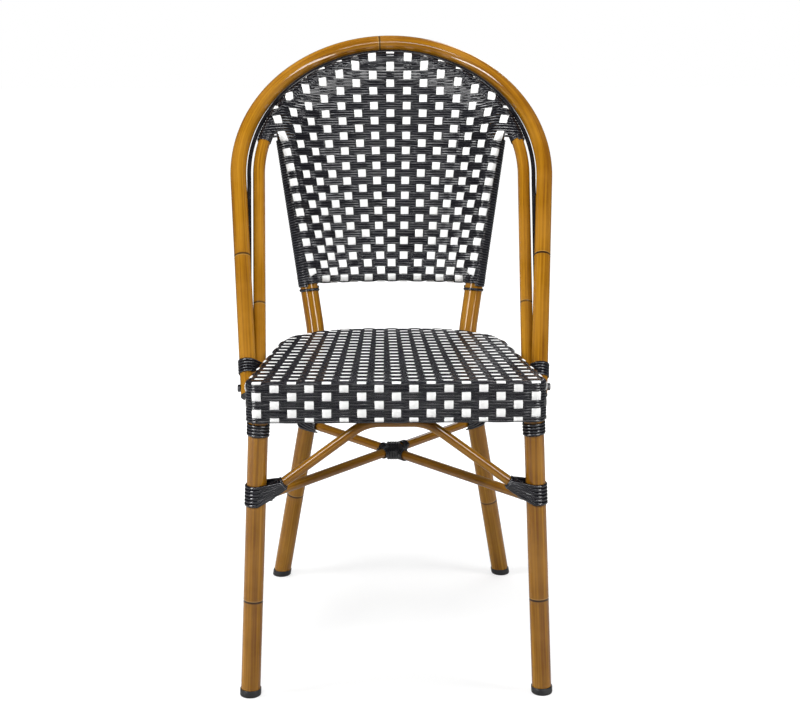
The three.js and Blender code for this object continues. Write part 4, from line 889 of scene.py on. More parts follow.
def arch_turns(above_foot):
    """Turns round the legs of both arches together."""
    axis = (outer.leg_direction + inner.leg_direction).normalized()
    start = outer.foot + outer.leg_direction * (above_foot / outer.leg_direction.z)
    big, small = (r + WOUND_CLEAR for r in (OUTER_TUBE_RADIUS, INNER_TUBE_RADIUS))
    apart = inner.across_from(start, axis) - outer.across_from(start, axis)
    across = apart.normalized()
    aside = axis.cross(across)
    middles, outs = [], []
    switch = math.acos((big - small) / apart.length)
    for i in range(ARCH_TURNS * ARCH_TURN_STEPS + 1):
        angle = 2 * math.pi * i / ARCH_TURN_STEPS
        out = across * math.cos(angle) + aside * math.sin(angle)
        turned = (angle + math.pi) % (2 * math.pi) - math.pi
        hoop, reach = (inner, small) if abs(turned) < switch else (outer, big)
        level = start + axis * (angle / (2 * math.pi) * STRIP_PITCH)
        middles.append(hoop.across_from(level, axis) + out * reach)
        outs.append(out)
    return np.array(middles), np.array(outs)

# %% [markdown]
# Both sides of the chair are bound alike, so the left paths mirror the right ones. Only the binding
# of the left arch feet sits a little higher than the right one, as in the photograph.

# %% Wind the joints
SEAT_LIP = 402.56
POST_SLEEVE_FOOT = Vector((130.146, 404.718, 507.788))
FACING_BACK = (0, 1, 0)
RIGHT_ARCH_WINDING, LEFT_ARCH_WINDING = 20, 26
paths = {
    "arch_winding": arch_turns(RIGHT_ARCH_WINDING),
    "front_leg_top_winding": round_turns(
        at_height(FRONT_FOOT, front_direction, SEAT_LIP - FIT_GAP - 1.6), -front_direction, LEG_RADIUS,
        FACING_BACK, 4),
    "front_brace_winding": round_turns(
        BRACE_FOOT + brace_direction * 17, brace_direction, BRACE_RADIUS, FACING_BACK, 7, flare=3.0),
    "back_corner_winding": round_turns(
        POST_SLEEVE_FOOT - post_direction * 2.3, -post_direction, LEG_RADIUS, FACING_BACK, 1.25),
}
for name, path in paths.items():
    winding(f"{name}_right", path)
    winding(f"{name}_left", mirror_path(arch_turns(LEFT_ARCH_WINDING) if name == "arch_winding" else path))

# %% [markdown]
# Where a brace meets a leg, the joint is bound as one: each strip passes round the far side of the
# leg, and both its ends run along the brace, where they lie close together. The front bindings are
# lopsided, because the front brace rises from the leg. The rear ones start just under the brace and
# cover the leg above it.

# %% Strips from the legs to the braces
LASHING_STRIPS = 6
LASHING_PITCH = 5.05
LASHING_ON_LEG = LEG_RADIUS + WOUND_CLEAR
LASHING_ON_BRACE = BRACE_RADIUS + 0.15 + 1.5 * STRIP_THICKNESS
LASHING_BULGE = 1.2
LASHING = {**STRIP, "width": 5.3, "thickness": 1.3 * STRIP_THICKNESS}
FRONT_LASHING_START, FRONT_LASHING_REACH = 284.9, 47
REAR_LASHING_START, REAR_LASHING_REACH = -4, 31


def lashing_strip(core, away, sideways, end_middle, brace_up, aside):
    """One strip. aside says how high on the brace it ends, from -1 for the underside to 1."""
    core, away, sideways, end_middle, brace_up = (
        np.array(given, float) for given in (core, away, sideways, end_middle, brace_up))
    angle = np.radians(np.linspace(0, 100, 16))[:, None]
    share = np.linspace(0, 1, 15)[1:, None]
    halves = []
    for way in (-sideways, sideways):
        leg_out = np.cos(angle) * away + np.sin(angle) * way
        on_leg = core + LASHING_ON_LEG * leg_out
        end_out = way * math.sqrt(1 - aside ** 2) + brace_up * aside
        end = end_middle + LASHING_ON_BRACE * end_out
        run_out = unit(leg_out[-1] * (1 - share) + end_out * share)
        run = on_leg[-1] + (end - on_leg[-1]) * share + run_out * np.sin(math.pi * share) * LASHING_BULGE
        halves.append((np.concatenate([on_leg, run]), np.concatenate([leg_out, run_out])))
    (back, back_out), (front, front_out) = halves
    return np.concatenate([back[:0:-1], front]), np.concatenate([back_out[:0:-1], front_out])


def front_strips():
    end = BRACE_FOOT + brace_direction * FRONT_LASHING_REACH
    brace_rise = (brace_direction.z, 0, -brace_direction.x)
    return [
        lashing_strip(at_height(FRONT_FOOT, front_direction, FRONT_LASHING_START + LASHING_PITCH * i),
                      (1, 0, 0), (0, -1, 0), end, brace_rise, 0.23 * i - 0.9)
        for i in range(LASHING_STRIPS)]


def rear_strips(height):
    """The strips of a rear joint, whose brace has some height."""
    away = REAR_FOOT - other_side(FRONT_FOOT)
    away = Vector((away.x, away.y, 0)).normalized()
    square = (away - rear_direction * away.dot(rear_direction)).normalized()
    end = at_height(REAR_FOOT, rear_direction, height) - away * REAR_LASHING_REACH
    return [
        lashing_strip(
            at_height(REAR_FOOT, rear_direction, height + REAR_LASHING_START + LASHING_PITCH * i), square,
            rear_direction.cross(square), end, UPWARDS, 0.34 * i - 0.85)
        for i in range(LASHING_STRIPS)]


for joint, side, strips in (
        ("front_leg_brace", "right", front_strips()),
        ("front_leg_brace", "left", front_strips()),
        ("rear_leg", "right", rear_strips(LONG_REAR_HEIGHT)),
        ("rear_leg", "left", rear_strips(LONG_REAR_HEIGHT - SHORT_DROP))):
    if side == "left":
        strips = [mirror_path(path) for path in strips]
    replaced = f"{joint}_winding_{side}"
    lay_strands(f"{replaced}_strips", strips, replaced=replaced, **LASHING)

# %% [markdown]
# The crossing of the braces is bound twice. Each brace has its own strip, which steps past the other
# brace halfway. Over these lie short closed strips that go round both braces at once.

# %% Wind the crossing
CROSSING_TURNS = 6.5
CROSSING_OFFSETS = (-7.5, -3.7, 0, 3.7, 7.5)
BOUND_RADIUS = BRACE_RADIUS + 2.2
HALF_STRIP = 1.95


def crossing_path(ends, side):
    axis = (ends[1] - ends[0]).normalized()
    crossed = axis.angle(other_side(axis))
    half_angle = min(crossed, math.pi - crossed) / 2
    clear = (BOUND_RADIUS * math.cos(half_angle) + FIT_GAP) / math.sin(half_angle) + HALF_STRIP
    before = clear + CROSSING_TURNS / 2 * STRIP_PITCH
    return round_turns(crossing_of(ends) - axis * before, axis, BRACE_RADIUS, side, CROSSING_TURNS, 3,
                       2 * clear)


def over_crossing(along, aside, offset, half_length, lift):
    """A strip that is bound round both braces at the crossing, across the gap on either side."""
    middle = np.array((crossing_of(LONG_ENDS) + crossing_of(SHORT_ENDS)) / 2)
    along, aside, upward = (np.array(given, float) for given in (along, aside, UPWARDS))
    angle = np.linspace(0, 2 * math.pi, 49)[:, None]
    out = unit(np.cos(angle) * along / half_length + np.sin(angle) * upward / lift)
    round_shape = np.cos(angle) * along * half_length + np.sin(angle) * upward * lift
    return middle + aside * offset + round_shape, out


winding("crossing_winding_upper", crossing_path(LONG_ENDS, (0, 0, 1)))
winding("crossing_winding_lower", crossing_path(SHORT_ENDS, (0, 0, -1)))
bands = (((1, 0, 0), (0, 1, 0), 15, 10.6), ((0, 1, 0), (1, 0, 0), 18, 12.2))
crossing_strips = [
    over_crossing(along, aside, offset, half_length, lift)
    for along, aside, half_length, lift in bands
    for offset in CROSSING_OFFSETS]
lay_strands("crossing_lashing_strips", crossing_strips, **{**STRIP, "fullness": 0.62})

# %% [markdown]
# # The cane between the arches
# A round black cane lies in the valley between the two arches, from the winding on one side to the
# winding on the other. It keeps one distance from each tube, so its path follows from their two
# centre lines.

# %% Cane
CANE_WIDTH = 6.4
CANE_START = 0.105
TO_OUTER = 16.3
TO_INNER = 15.1


def cane_place(on_outer, on_inner, axis):
    apart = on_inner - on_outer
    apart = apart - axis * apart.dot(axis)
    distance = apart.length
    along = (distance ** 2 + TO_OUTER ** 2 - TO_INNER ** 2) / (2 * distance)
    aside = math.sqrt(max(TO_OUTER ** 2 - along ** 2, 0))
    across = apart.normalized()
    return on_outer + across * along + across.cross(axis) * aside


def cane_path():
    """Places and ways out, from the right winding over the crown to the left one."""
    start = outer.foot + outer.leg_direction * (outer.leg_length * CANE_START)
    half = []
    for i in range(40):
        place = start.lerp(outer.bend_start, 1 - (1 - i / 40) ** 1.6)
        half.append(cane_place(place, inner.across_from(place, outer.leg_direction), outer.leg_direction))
    for i in range(61):
        share = i / 120
        angle = -outer.tilt + outer.bend * share
        inner_angle = -inner.tilt + inner.bend * share
        axis = Vector((1, 0, 0)) * -math.sin(angle) + outer.up * math.cos(angle)
        half.append(cane_place(outer.on_circle(angle), inner.on_circle(inner_angle), axis))
    places = half + [other_side(place) for place in reversed(half[:-1])]
    facing = Vector((0, -outer.up.z, outer.up.y))
    return np.array(places), np.array([facing] * len(places))


lay_strands("arch_cane_drawn", [cane_path()], CANE_WIDTH, CANE_WIDTH, 1.0, cane_black, "black_plastic",
            ROUND_CORNERS, "arch_cane")

# %% [markdown]
# # The seat
# The seat is one woven skin over a tapered frame with round rear corners. White strands run from the
# bottom of the front apron over the top to the back, drawing together with the taper. Dark strands
# cross them. On the apron the dark strands run right round the seat as closed loops. The path of every
# strand is found from its distance to the seat's outline: on top, over the rounded edge, or down.

# %% Seat outline
SEAT_FRONT_HALF = 206.5
SEAT_TAPER = 48 / 419
SEAT_DEPTH = 419
SEAT_DROP = 19
SEAT_OVERHANG = 19
SEAT_FRONT_HEIGHT = 461
REAR_CORNER, FRONT_CORNER = 135, 18
EDGE_RADIUS = 5.0
EDGE_STEPS = 3000
APRON = 55.5
seat_slope = math.atan(SEAT_DROP / SEAT_DEPTH)
side_angle = math.atan(SEAT_TAPER)


def seat_to_drawing(places):
    x, depth, height = np.moveaxis(np.asarray(places, float), -1, 0)
    cosine, sine = math.cos(seat_slope), math.sin(seat_slope)
    return np.stack([x, depth * cosine + height * sine - SEAT_OVERHANG,
                     height * cosine - depth * sine + SEAT_FRONT_HEIGHT], -1)


def seat_direction(vectors):
    return seat_to_drawing(vectors) - seat_to_drawing(np.zeros(3))


def seat_half_width(depth):
    return SEAT_FRONT_HALF - SEAT_TAPER * depth


def outline():
    """Places and outward directions round the seat, from the middle of the back by the left side."""
    def corner(centre_depth, radius, first, last):
        centre_x = seat_half_width(centre_depth) - radius / math.cos(side_angle)
        turn = np.radians(np.linspace(first, last, 60))
        facing = np.stack([np.cos(turn), np.sin(turn)], 1)
        return (-centre_x, centre_depth) + radius * facing, facing
    slant = 180 - math.degrees(side_angle)
    rear_places, rear_facing = corner(SEAT_DEPTH - REAR_CORNER, REAR_CORNER, 90, slant)
    front_places, front_facing = corner(FRONT_CORNER, FRONT_CORNER, slant, 270)
    places = np.concatenate([[(0, SEAT_DEPTH)], rear_places, front_places, [(0, 0)]])
    facing = np.concatenate([[(0, 1)], rear_facing, front_facing, [(0, -1)]])
    places = np.concatenate([places, places[-2::-1] * (-1, 1)])
    facing = np.concatenate([facing, facing[-2::-1] * (-1, 1)])
    along = np.concatenate([[0], np.cumsum(np.linalg.norm(np.diff(places, axis=0), axis=1))])
    fine = np.linspace(0, along[-1], EDGE_STEPS + 1)
    dense = np.stack([np.interp(fine, along, places[:, i]) for i in (0, 1)], 1)
    faced = unit(np.stack([np.interp(fine, along, facing[:, i]) for i in (0, 1)], 1))
    return fine, dense, faced


edge_along, edge_places, edge_facing = outline()
whole_round = edge_along[-1]
print("The seat measures", round(whole_round), "mm round its edge")


def edge_number(along):
    return np.rint(along / whole_round * EDGE_STEPS).astype(int)


def nearest_edge(places):
    """Distance to the outline and the number of the nearest place on it."""
    apart = np.linalg.norm(edge_places[None] - np.asarray(places)[:, None], axis=2)
    return apart.min(1), apart.argmin(1)


def inside_edge(places):
    """Distance inside the outline; negative outside it."""
    apart, foot = nearest_edge(places)
    beyond = ((np.asarray(places) - edge_places[foot]) * edge_facing[foot]).sum(1)
    return np.where(beyond > 0, -apart, apart)


def over_edge(foot, facing, inside):
    """Surface place and way out for a distance inside the outline; negative runs down the apron."""
    turn = np.clip((inside + EDGE_RADIUS) / (2 * EDGE_RADIUS), 0, 1) * math.pi / 2
    inset = np.where(inside > EDGE_RADIUS, inside, EDGE_RADIUS * (1 - np.cos(turn)))
    height = np.where(inside < -EDGE_RADIUS, inside, EDGE_RADIUS * (np.sin(turn) - 1))
    plan = foot - facing * inset[:, None]
    out = np.concatenate([facing * np.cos(turn)[:, None], np.sin(turn)[:, None]], axis=1)
    return np.concatenate([plan, height[:, None]], axis=1), out


# %% [markdown]
# Over and under is a wave. At every crossing the column and the row together are even or odd, which
# says which strand is on top. The wave is flattened at its crests, as a stiff strand is.

# %% Over and under
SWING = 0.75
DARK_THICKNESS = 1.3
WHITE_THICKNESS = 1.1
STRAND_WIDTH = 3.8
WHITE_WIDTH = 12.3
DARK = {"width": STRAND_WIDTH, "thickness": DARK_THICKNESS, "fullness": 0.6, "finish": dark_strand,
        "slot": "checked_weave"}
WHITE = {"width": WHITE_WIDTH, "thickness": WHITE_THICKNESS, "fullness": 0.92, "finish": white_strand,
         "slot": "checked_weave"}


def wave(phase):
    return np.tanh(2.0 * np.cos(math.pi * phase)) / math.tanh(2.0)


def sink(surface, out, over, thickness, extra=0.0):
    """Moves a strand's middle under the surface: half its thickness where it is over, more where under."""
    depth = thickness / 2 + SWING * (1 - over) + extra
    return surface - out * np.asarray(depth)[..., None]


# %% [markdown]
# The dark strands come in threes. A row is three courses of them on the top, and three loops on the
# apron. A column is one white strand.

# %% Rows and columns of the seat
COLUMNS = 17
COLUMN_PITCH = 23.6
SIDE_COLUMNS = 12
FIRST_COURSE = 6.8
COURSES = 104
COURSE_PITCH = (SEAT_DEPTH - 2 * FIRST_COURSE) / (COURSES - 1)
LOOP_START = -4.95
LOOP_PITCH = 3.86
LOOPS = 14


def pitch_at(depth):
    return COLUMN_PITCH * seat_half_width(depth) / SEAT_FRONT_HALF


def row_on_top(depth):
    return ((depth - FIRST_COURSE) / COURSE_PITCH + 1) / 3


def row_on_apron(inside):
    return ((LOOP_START - inside) / LOOP_PITCH - 1) / 3

# %% [markdown]
# A course across the top is flat between the rounded edges. At each end it bends over the edge and is
# tucked in there, behind the loops of the apron.

# %% Dark strands across the top
def seat_course(number, stations=101, tried=700):
    depth = FIRST_COURSE + COURSE_PITCH * number
    tries = np.linspace(0, SEAT_FRONT_HALF, tried)
    inside = inside_edge(np.stack([tries, np.full(tried, depth)], 1))
    turning = tries[np.nonzero(inside >= EDGE_RADIUS)[0].max()]
    _, foot = nearest_edge([(turning, depth)])
    reach = turning + EDGE_RADIUS + 1.0
    x = np.linspace(-reach, reach, stations)
    beyond = np.abs(x) - turning
    flat = np.stack([x, np.full(stations, depth), np.zeros(stations)], 1)
    mirror = np.sign(x)[:, None] * (1, 0) + (0, 1)
    bent, bent_out = over_edge(edge_places[foot] * mirror, edge_facing[foot] * mirror,
                               EDGE_RADIUS - beyond)
    on_top = (beyond < 0)[:, None]
    surface, out = np.where(on_top, flat, bent), np.where(on_top, UPWARDS, bent_out)
    row = (number + 2) // 3
    column = x / pitch_at(depth) + (COLUMNS - 1) / 2
    over = np.where((column > -0.5) & (column < COLUMNS - 0.5), -wave(column + row), 0)
    tucked = 1.6 * np.clip((beyond + 2) / 5, 0, 1)
    return seat_to_drawing(sink(surface, out, over, DARK_THICKNESS, tucked)), seat_direction(out)


lay_strands("seat_weave_across", [seat_course(i) for i in range(COURSES)], replaced="seat_weave", **DARK)

# %% [markdown]
# A white strand lies flat on the top and bends down over both edges. Its place across the seat
# follows the taper, and it lies a little deeper than the dark strands, so that these cover its sides.

# %% White strands from front to back
WHITE_SINK = 0.6


def seat_column(number, stations=190):
    """One white strand, and where it leaves the top at the front and at the back."""
    depths = np.linspace(0, SEAT_DEPTH, 1400)
    line = np.stack([(number - (COLUMNS - 1) / 2) * pitch_at(depths), depths], 1)
    feet = nearest_edge(line)[1]
    inside = np.nonzero(inside_edge(line) >= EDGE_RADIUS)[0]
    ends = inside.min(), inside.max()
    front, rear = (depths[end] for end in ends)
    foot_front, foot_rear = (feet[end] for end in ends)
    down = APRON + EDGE_RADIUS
    depth = front - down + np.linspace(0, 2 * down + rear - front, stations)
    front_drop, rear_drop = EDGE_RADIUS - (front - depth), EDGE_RADIUS - (depth - rear)
    flat = np.stack([(number - (COLUMNS - 1) / 2) * pitch_at(depth), depth, 0 * depth], 1)
    first, first_out = over_edge(edge_places[foot_front], edge_facing[foot_front], front_drop)
    last, last_out = over_edge(edge_places[foot_rear], edge_facing[foot_rear], rear_drop)
    off_top = [depth < front, depth > rear]
    off_both = [end[:, None] for end in off_top]
    surface = np.select(off_both, [first, last], flat)
    out = np.select(off_both, [first_out, last_out], UPWARDS)
    phase = number + np.select(
        off_top, [row_on_apron(front_drop) + 1, row_on_apron(rear_drop)], row_on_top(depth))
    middles = sink(surface, out, wave(phase), WHITE_THICKNESS, WHITE_SINK)
    return (seat_to_drawing(middles), seat_direction(out)), foot_front, foot_rear


seat_columns = [seat_column(i) for i in range(COLUMNS)]
front_feet = [edge_along[foot] for _, foot, _ in seat_columns]
rear_feet = [edge_along[foot] for _, _, foot in seat_columns]
left_side = np.linspace(rear_feet[0], front_feet[0], SIDE_COLUMNS + 2)[1:-1]
uprights = np.sort(np.concatenate([left_side, front_feet, whole_round - left_side, rear_feet]) % whole_round)
print(len(uprights), "uprights round the apron")

# %% [markdown]
# Each upright has a number that counts round the seat. Going round, a loop is over one upright and
# under the next, and because the count is even it meets itself in step.

# %% Loops round the apron
first_front = np.argmin(np.abs(uprights - front_feet[0]))
counted_at = np.concatenate([[uprights[-1] - whole_round], uprights, [uprights[0] + whole_round]])
counts = np.arange(len(counted_at), dtype=float) - first_front


def number_at(along):
    """The running count of uprights at places round the seat."""
    return np.interp(along % whole_round, counted_at, counts)


def apron_loop(inside, row, stations=371):
    along = np.linspace(0, whole_round, stations)
    number = edge_number(along)
    surface, out = over_edge(edge_places[number], edge_facing[number], np.full(stations, float(inside)))
    over = -wave(number_at(along) + row)
    return seat_to_drawing(sink(surface, out, over, DARK_THICKNESS)), seat_direction(out)


loops = [apron_loop(2.9, -1), apron_loop(-1.0, -1)]
loops += [apron_loop(LOOP_START - LOOP_PITCH * k, k // 3) for k in range(LOOPS)]
lay_strands("seat_weave_round", loops, **DARK)

# %% [markdown]
# On the left and right of the apron the white strands are short uprights. They stand between those of
# the front and those of the back, and end at the rounded edge.

# %% Uprights
def side_upright(along, stations=26, top=4):
    number = edge_number(along)
    inside = np.linspace(-APRON, top, stations)
    surface, out = over_edge(edge_places[number], edge_facing[number], inside)
    over = wave(row_on_apron(inside) + np.rint(number_at(along)))
    tucked = 1.2 * np.clip(inside / top, 0, 1)
    return seat_to_drawing(sink(surface, out, over, WHITE_THICKNESS, tucked)), seat_direction(out)


lay_strands("seat_weave_lengthwise", [course for course, _, _ in seat_columns], **WHITE)
lay_strands("seat_weave_uprights", [
    side_upright(at) for at in np.concatenate([left_side, whole_round - left_side])], **WHITE)

# %% [markdown]
# Under the apron the skin is turned in below the frame. A few plain loops close that lip, seen only
# from below.

# %% Lip under the apron
LIP_DEPTH = 56.0


def lip_loop(inset, stations=241):
    number = np.rint(np.linspace(0, EDGE_STEPS, stations)).astype(int)
    plan = edge_places[number] - edge_facing[number] * inset
    places = np.concatenate([plan, np.full((stations, 1), -LIP_DEPTH)], axis=1)
    return seat_to_drawing(places), seat_direction(np.tile((0.0, 0.0, -1.0), (stations, 1)))


lay_strands("seat_weave_lip", [lip_loop(2.6 + 3.9 * i) for i in range(5)], **DARK)

# %% [markdown]
# # The back
# The back is woven between the two posts, the inner arch and a bottom rail. It is hollowed from side
# to side. Near its edges the weave climbs onto the tubes and goes round them. A thin cord is bound
# round the bow of the arch, under the strands.

# %% Shape of the back
RAIL_RADIUS = 8
rail_low, rail_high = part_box("back_bottom_rail")
RAIL_HEIGHT = (rail_low.z + rail_high.z) / 2 / MM
BACK_BOW = 20
rail_end = at_height(HIP, post_direction, RAIL_HEIGHT)
lower_middle = rail_end.y + BACK_BOW


def plane_depth(height):
    """Depth at which the leaning plane of the inner arch has some height."""
    return inner.centre.y + (height - inner.centre.z) * inner.up.y / inner.up.z


def post_place(height):
    share = (height - HIP.z) / post_direction.z
    return HIP.x + post_direction.x * share, HIP.y + post_direction.y * share


def arch_half_width(height):
    rise = np.clip((height - inner.centre.z) / (inner.radius * inner.up.z), -1, 1)
    return inner.radius * np.sqrt(1 - rise ** 2)


def panel(x, height):
    """Place on the middle surface of the back. Outside the arch it goes on in the arch's plane."""
    x, height = np.broadcast_arrays(np.asarray(x, float), np.asarray(height, float))
    post_x, post_y = post_place(height)
    by_post = height < POST_TOP.z
    edge_x = np.where(by_post, post_x, np.maximum(arch_half_width(height), 1))
    edge_y = np.where(by_post, post_y, plane_depth(height))
    middle = lower_middle + (inner.top.y - lower_middle) * (height - RAIL_HEIGHT) / (
        inner.top.z - RAIL_HEIGHT)
    share = (x / edge_x) ** 2
    share = np.where(by_post, share, np.minimum(share, 1))
    share = np.where(height > inner.top.z - 1, 1, share)
    return np.stack([x, middle + (edge_y - middle) * share, height], -1)


def across_both(surface, x, height, step=0.6):
    """Way out of a surface, towards the sitter, from places just beside each place."""
    across = surface(x + step, height) - surface(x - step, height)
    upward = surface(x, height + step) - surface(x, height - step)
    return unit(np.cross(across, upward))


# %% [markdown]
# The weave stands off the panel's middle surface where a tube lies under it. A strand leaves a tube
# in a straight line and meets the panel a little way in; on the tube's outer side it stays on the tube.

# %% Standing off the tubes
LAY = 1.6
EAR_ANGLE = math.radians(15.5)
EAR_START = inner.on_circle(EAR_ANGLE).z
ARCH_RUN, POST_RUN, RAIL_RUN = 42, 56, 36
arch_reach, post_reach, rail_reach = (
    radius + LAY for radius in (INNER_TUBE_RADIUS, LEG_RADIUS, RAIL_RADIUS))
plane_out = np.array((0, -inner.up.z, inner.up.y))
arch_centre, arch_up = np.array(inner.centre), np.array(inner.up)


def stand_off(inside, reach, run):
    """Height over a tube's middle line, for a distance inside that line; negative is outside it."""
    touch = reach ** 2 / run
    on_tube = np.sqrt(np.maximum(reach ** 2 - inside ** 2, 0))
    off_tube = math.sqrt(reach ** 2 - touch ** 2) * np.clip((run - inside) / (run - touch), 0, None)
    return np.where(inside < touch, on_tube, off_tube)


def beyond_arch(places):
    """Distance outside the inner arch's middle line, measured in the arch's plane."""
    return np.hypot(places[..., 0], (places[..., 2] - inner.centre.z) / inner.up.z) - inner.radius


def raised(x, height):
    """The panel with its stand-off from the posts and the arch. Over the ears it is drawn taut."""
    places = panel(x, height)
    levels = places[..., 2]
    reach_x = np.abs(places[..., 0])
    post_x, post_y = post_place(levels)
    outside = beyond_arch(places)
    by_arch = np.clip((levels - EAR_START) / 10 + 0.5, 0, 1)
    in_ear = by_arch * (levels < POST_TOP.z) * (reach_x > post_x)
    over_ear = np.clip((reach_x - post_x) / (arch_half_width(levels) - post_x + 0.01), 0, 1)
    turn = np.maximum(by_arch * np.clip(1 + outside / ARCH_RUN, 0, 1), in_ear * over_ear)[..., None]
    out = unit(across_both(panel, x, height) * (1 - turn) + plane_out * turn)
    from_post = (post_x - reach_x) * math.cos(math.atan2(post_direction.x, post_direction.z))
    post_end = np.clip((POST_TOP.z + post_reach - levels) / post_reach, 0, 1)
    lift = np.maximum.reduce([
        stand_off(-outside, arch_reach, ARCH_RUN) * by_arch,
        stand_off(from_post, post_reach, POST_RUN) * post_end,
        stand_off(levels - RAIL_HEIGHT, rail_reach, RAIL_RUN)])
    surface = places + out * lift[..., None]
    core = np.stack([places[..., 0], post_y + (plane_depth(levels) - post_y) * over_ear, levels], -1)
    on_arch = np.sqrt(np.maximum(arch_reach ** 2 - np.maximum(outside, 0) ** 2, 0))
    taut = core + out * (post_reach + (on_arch - post_reach) * over_ear)[..., None]
    return surface + (taut - surface) * in_ear[..., None]


# %% [markdown]
# The white strands fan out upwards. They aren't quite evenly spaced at the bottom, because the back
# is woven by hand, and those places are kept as they were measured. Rows are counted from the bottom
# rail up, and the lowest rows lie round the rail.

# %% Columns and rows of the back
BOTTOM_COLUMNS = np.array([-130, -108, -94, -77.5, -60, -37.5, -17, 0.5, 19.5, 42.5, 62.5, 79, 96, 111, 131])
BACK_COLUMNS = len(BOTTOM_COLUMNS)
TOP_COLUMNS = (np.arange(BACK_COLUMNS) - 7) * 25.5
BOTTOM_LEVEL, TOP_LEVEL = 538, 762
BACK_PITCH = 3.84
first_height = RAIL_HEIGHT + rail_reach ** 2 / RAIL_RUN
turn_at_start = math.acos(rail_reach / RAIL_RUN)


def column_places(height):
    share = (np.asarray(height, float)[..., None] - BOTTOM_LEVEL) / (TOP_LEVEL - BOTTOM_LEVEL)
    return BOTTOM_COLUMNS + (TOP_COLUMNS - BOTTOM_COLUMNS) * share


def back_column_at(x, height):
    """The running number of the column at a place; the first white strand has number 1."""
    at = column_places(height)
    ends = (2 * at[:1] - at[1:2], 2 * at[-1:] - at[-2:-1])
    return np.interp(x, np.concatenate([ends[0], at, ends[1]]), np.arange(BACK_COLUMNS + 2))


def height_of(count):
    return first_height + BACK_PITCH * (count - 2)


# %% [markdown]
# A dark strand of the back runs from one edge tube to the other. On a post it goes round to the back.
# On the arch it tucks in behind, and less so near the crown, where it runs along the tube.

# %% Dark strands across the back
ARCH_TURN = math.radians(50)
WRAP_START = ARCH_TURN + 0.08
FULL_WRAP = 2.3
EVENNESS = 0.8


def round_tube(core, outwards, front, reach, first, last, count):
    """Places and ways out round a tube, from its front over its outer side to its back."""
    angle = np.linspace(first, last, count)[:, None]
    out = np.cos(angle) * front + np.sin(angle) * outwards
    return core + reach * out, out


def arch_spoke(steep):
    """A place on the inner arch's middle line and the way out from there, at some angle."""
    outwards = np.array((math.cos(steep), 0, 0)) + arch_up * math.sin(steep)
    return arch_centre + outwards * inner.radius, outwards


def course_swing(x, height, number, seen=True):
    """How far a dark strand swings out where white strands cross it in sight."""
    columns = back_column_at(x, height)
    crossed = (columns > 0.5) & (columns < BACK_COLUMNS + 0.5) & seen
    return (SWING * np.where(crossed, -wave(columns + (number + 1) // 3), 0))[:, None]


def back_course(number, flat=121, wrap=12):
    height = height_of(number)
    if height < EAR_START:
        post_x, post_y = post_place(height)
        core, end = np.array((post_x, post_y, height)), post_x
        front = across_both(panel, np.array(end), np.array(height))
        outwards = np.cross(np.array(post_direction), front)
        outwards = unit(outwards * np.sign(outwards[0]))
        ring, ring_out = round_tube(core, outwards, front, post_reach, 0.12, 3.4, wrap)
    else:
        level = (height - inner.centre.z) / inner.up.z
        rim = inner.radius + arch_reach * math.sin(ARCH_TURN)
        end = math.sqrt(rim ** 2 - level ** 2)
        steep = math.atan2(level, end)
        core, outwards = arch_spoke(steep)
        last = ARCH_TURN + np.clip((math.radians(75) - steep) / math.radians(35), 0.08, 1) * FULL_WRAP
        ring, ring_out = round_tube(core, outwards, plane_out, arch_reach, WRAP_START, last, wrap)
    quarter = math.pi / 2 * EVENNESS
    x = end * np.sin(np.linspace(-1, 1, flat) * quarter) / math.sin(quarter)
    levels = np.full(flat, height)
    surface, out = raised(x, levels), across_both(raised, x, levels)
    middles = surface + out * course_swing(x, height, number)
    seen = ring_out @ plane_out > 0.2
    right, left = (
        ring + ring_out * course_swing(side * ring[:, 0], height, number, seen) for side in (1, -1))
    return (np.concatenate([left[::-1] * MIRROR, middles, right]),
            np.concatenate([ring_out[::-1] * MIRROR, out, ring_out]))


rim_height = inner.centre.z + (inner.radius + arch_reach * math.sin(ARCH_TURN)) * inner.up.z
top_count = int((rim_height - 1.5 - first_height) / BACK_PITCH) + 2
lay_strands("back_weave_across", [back_course(number) for number in range(2, top_count + 1)],
            replaced="back_weave", **{**DARK, "width": 4.1, "fullness": 0.4})

# %% [markdown]
# The lowest dark strands lie side by side round the bottom rail, from its front under it to its back.

# %% Dark strands along the bottom rail
def rail_course(number, stations=97):
    turn = turn_at_start + (2 - number) * BACK_PITCH / rail_reach
    half = rail_end.x - 11
    x = np.linspace(-half, half, stations)
    levels = np.full(stations, RAIL_HEIGHT)
    core = panel(x, levels)
    front = across_both(panel, x, levels)
    upward = unit(np.cross(front, unit(np.gradient(core, axis=0))))
    upward = upward * np.sign(upward[:, 2:])
    out = upward * math.cos(turn) + front * math.sin(turn)
    over = -wave(back_column_at(x, height_of(number)) + (number + 1) // 3)
    return core + out * (rail_reach + SWING * over)[:, None], out


lay_strands("back_weave_rail", [rail_course(number) for number in range(1, -8, -1)], **DARK)

# %% [markdown]
# A white strand starts behind the arch, comes over it, runs down the panel and goes round the rail.
# It is wide, so its edges are draped onto the surface beside its middle line.

# %% White strands of the back
def drape(surface, x, height, middles, out):
    """How high a surface lies under the two edges of a strand that runs up it."""
    beside = [surface(x + side * WHITE_WIDTH / 2, height) for side in (-1, 1)]
    return np.stack([((edge - middles) * out).sum(-1) for edge in beside], -1)


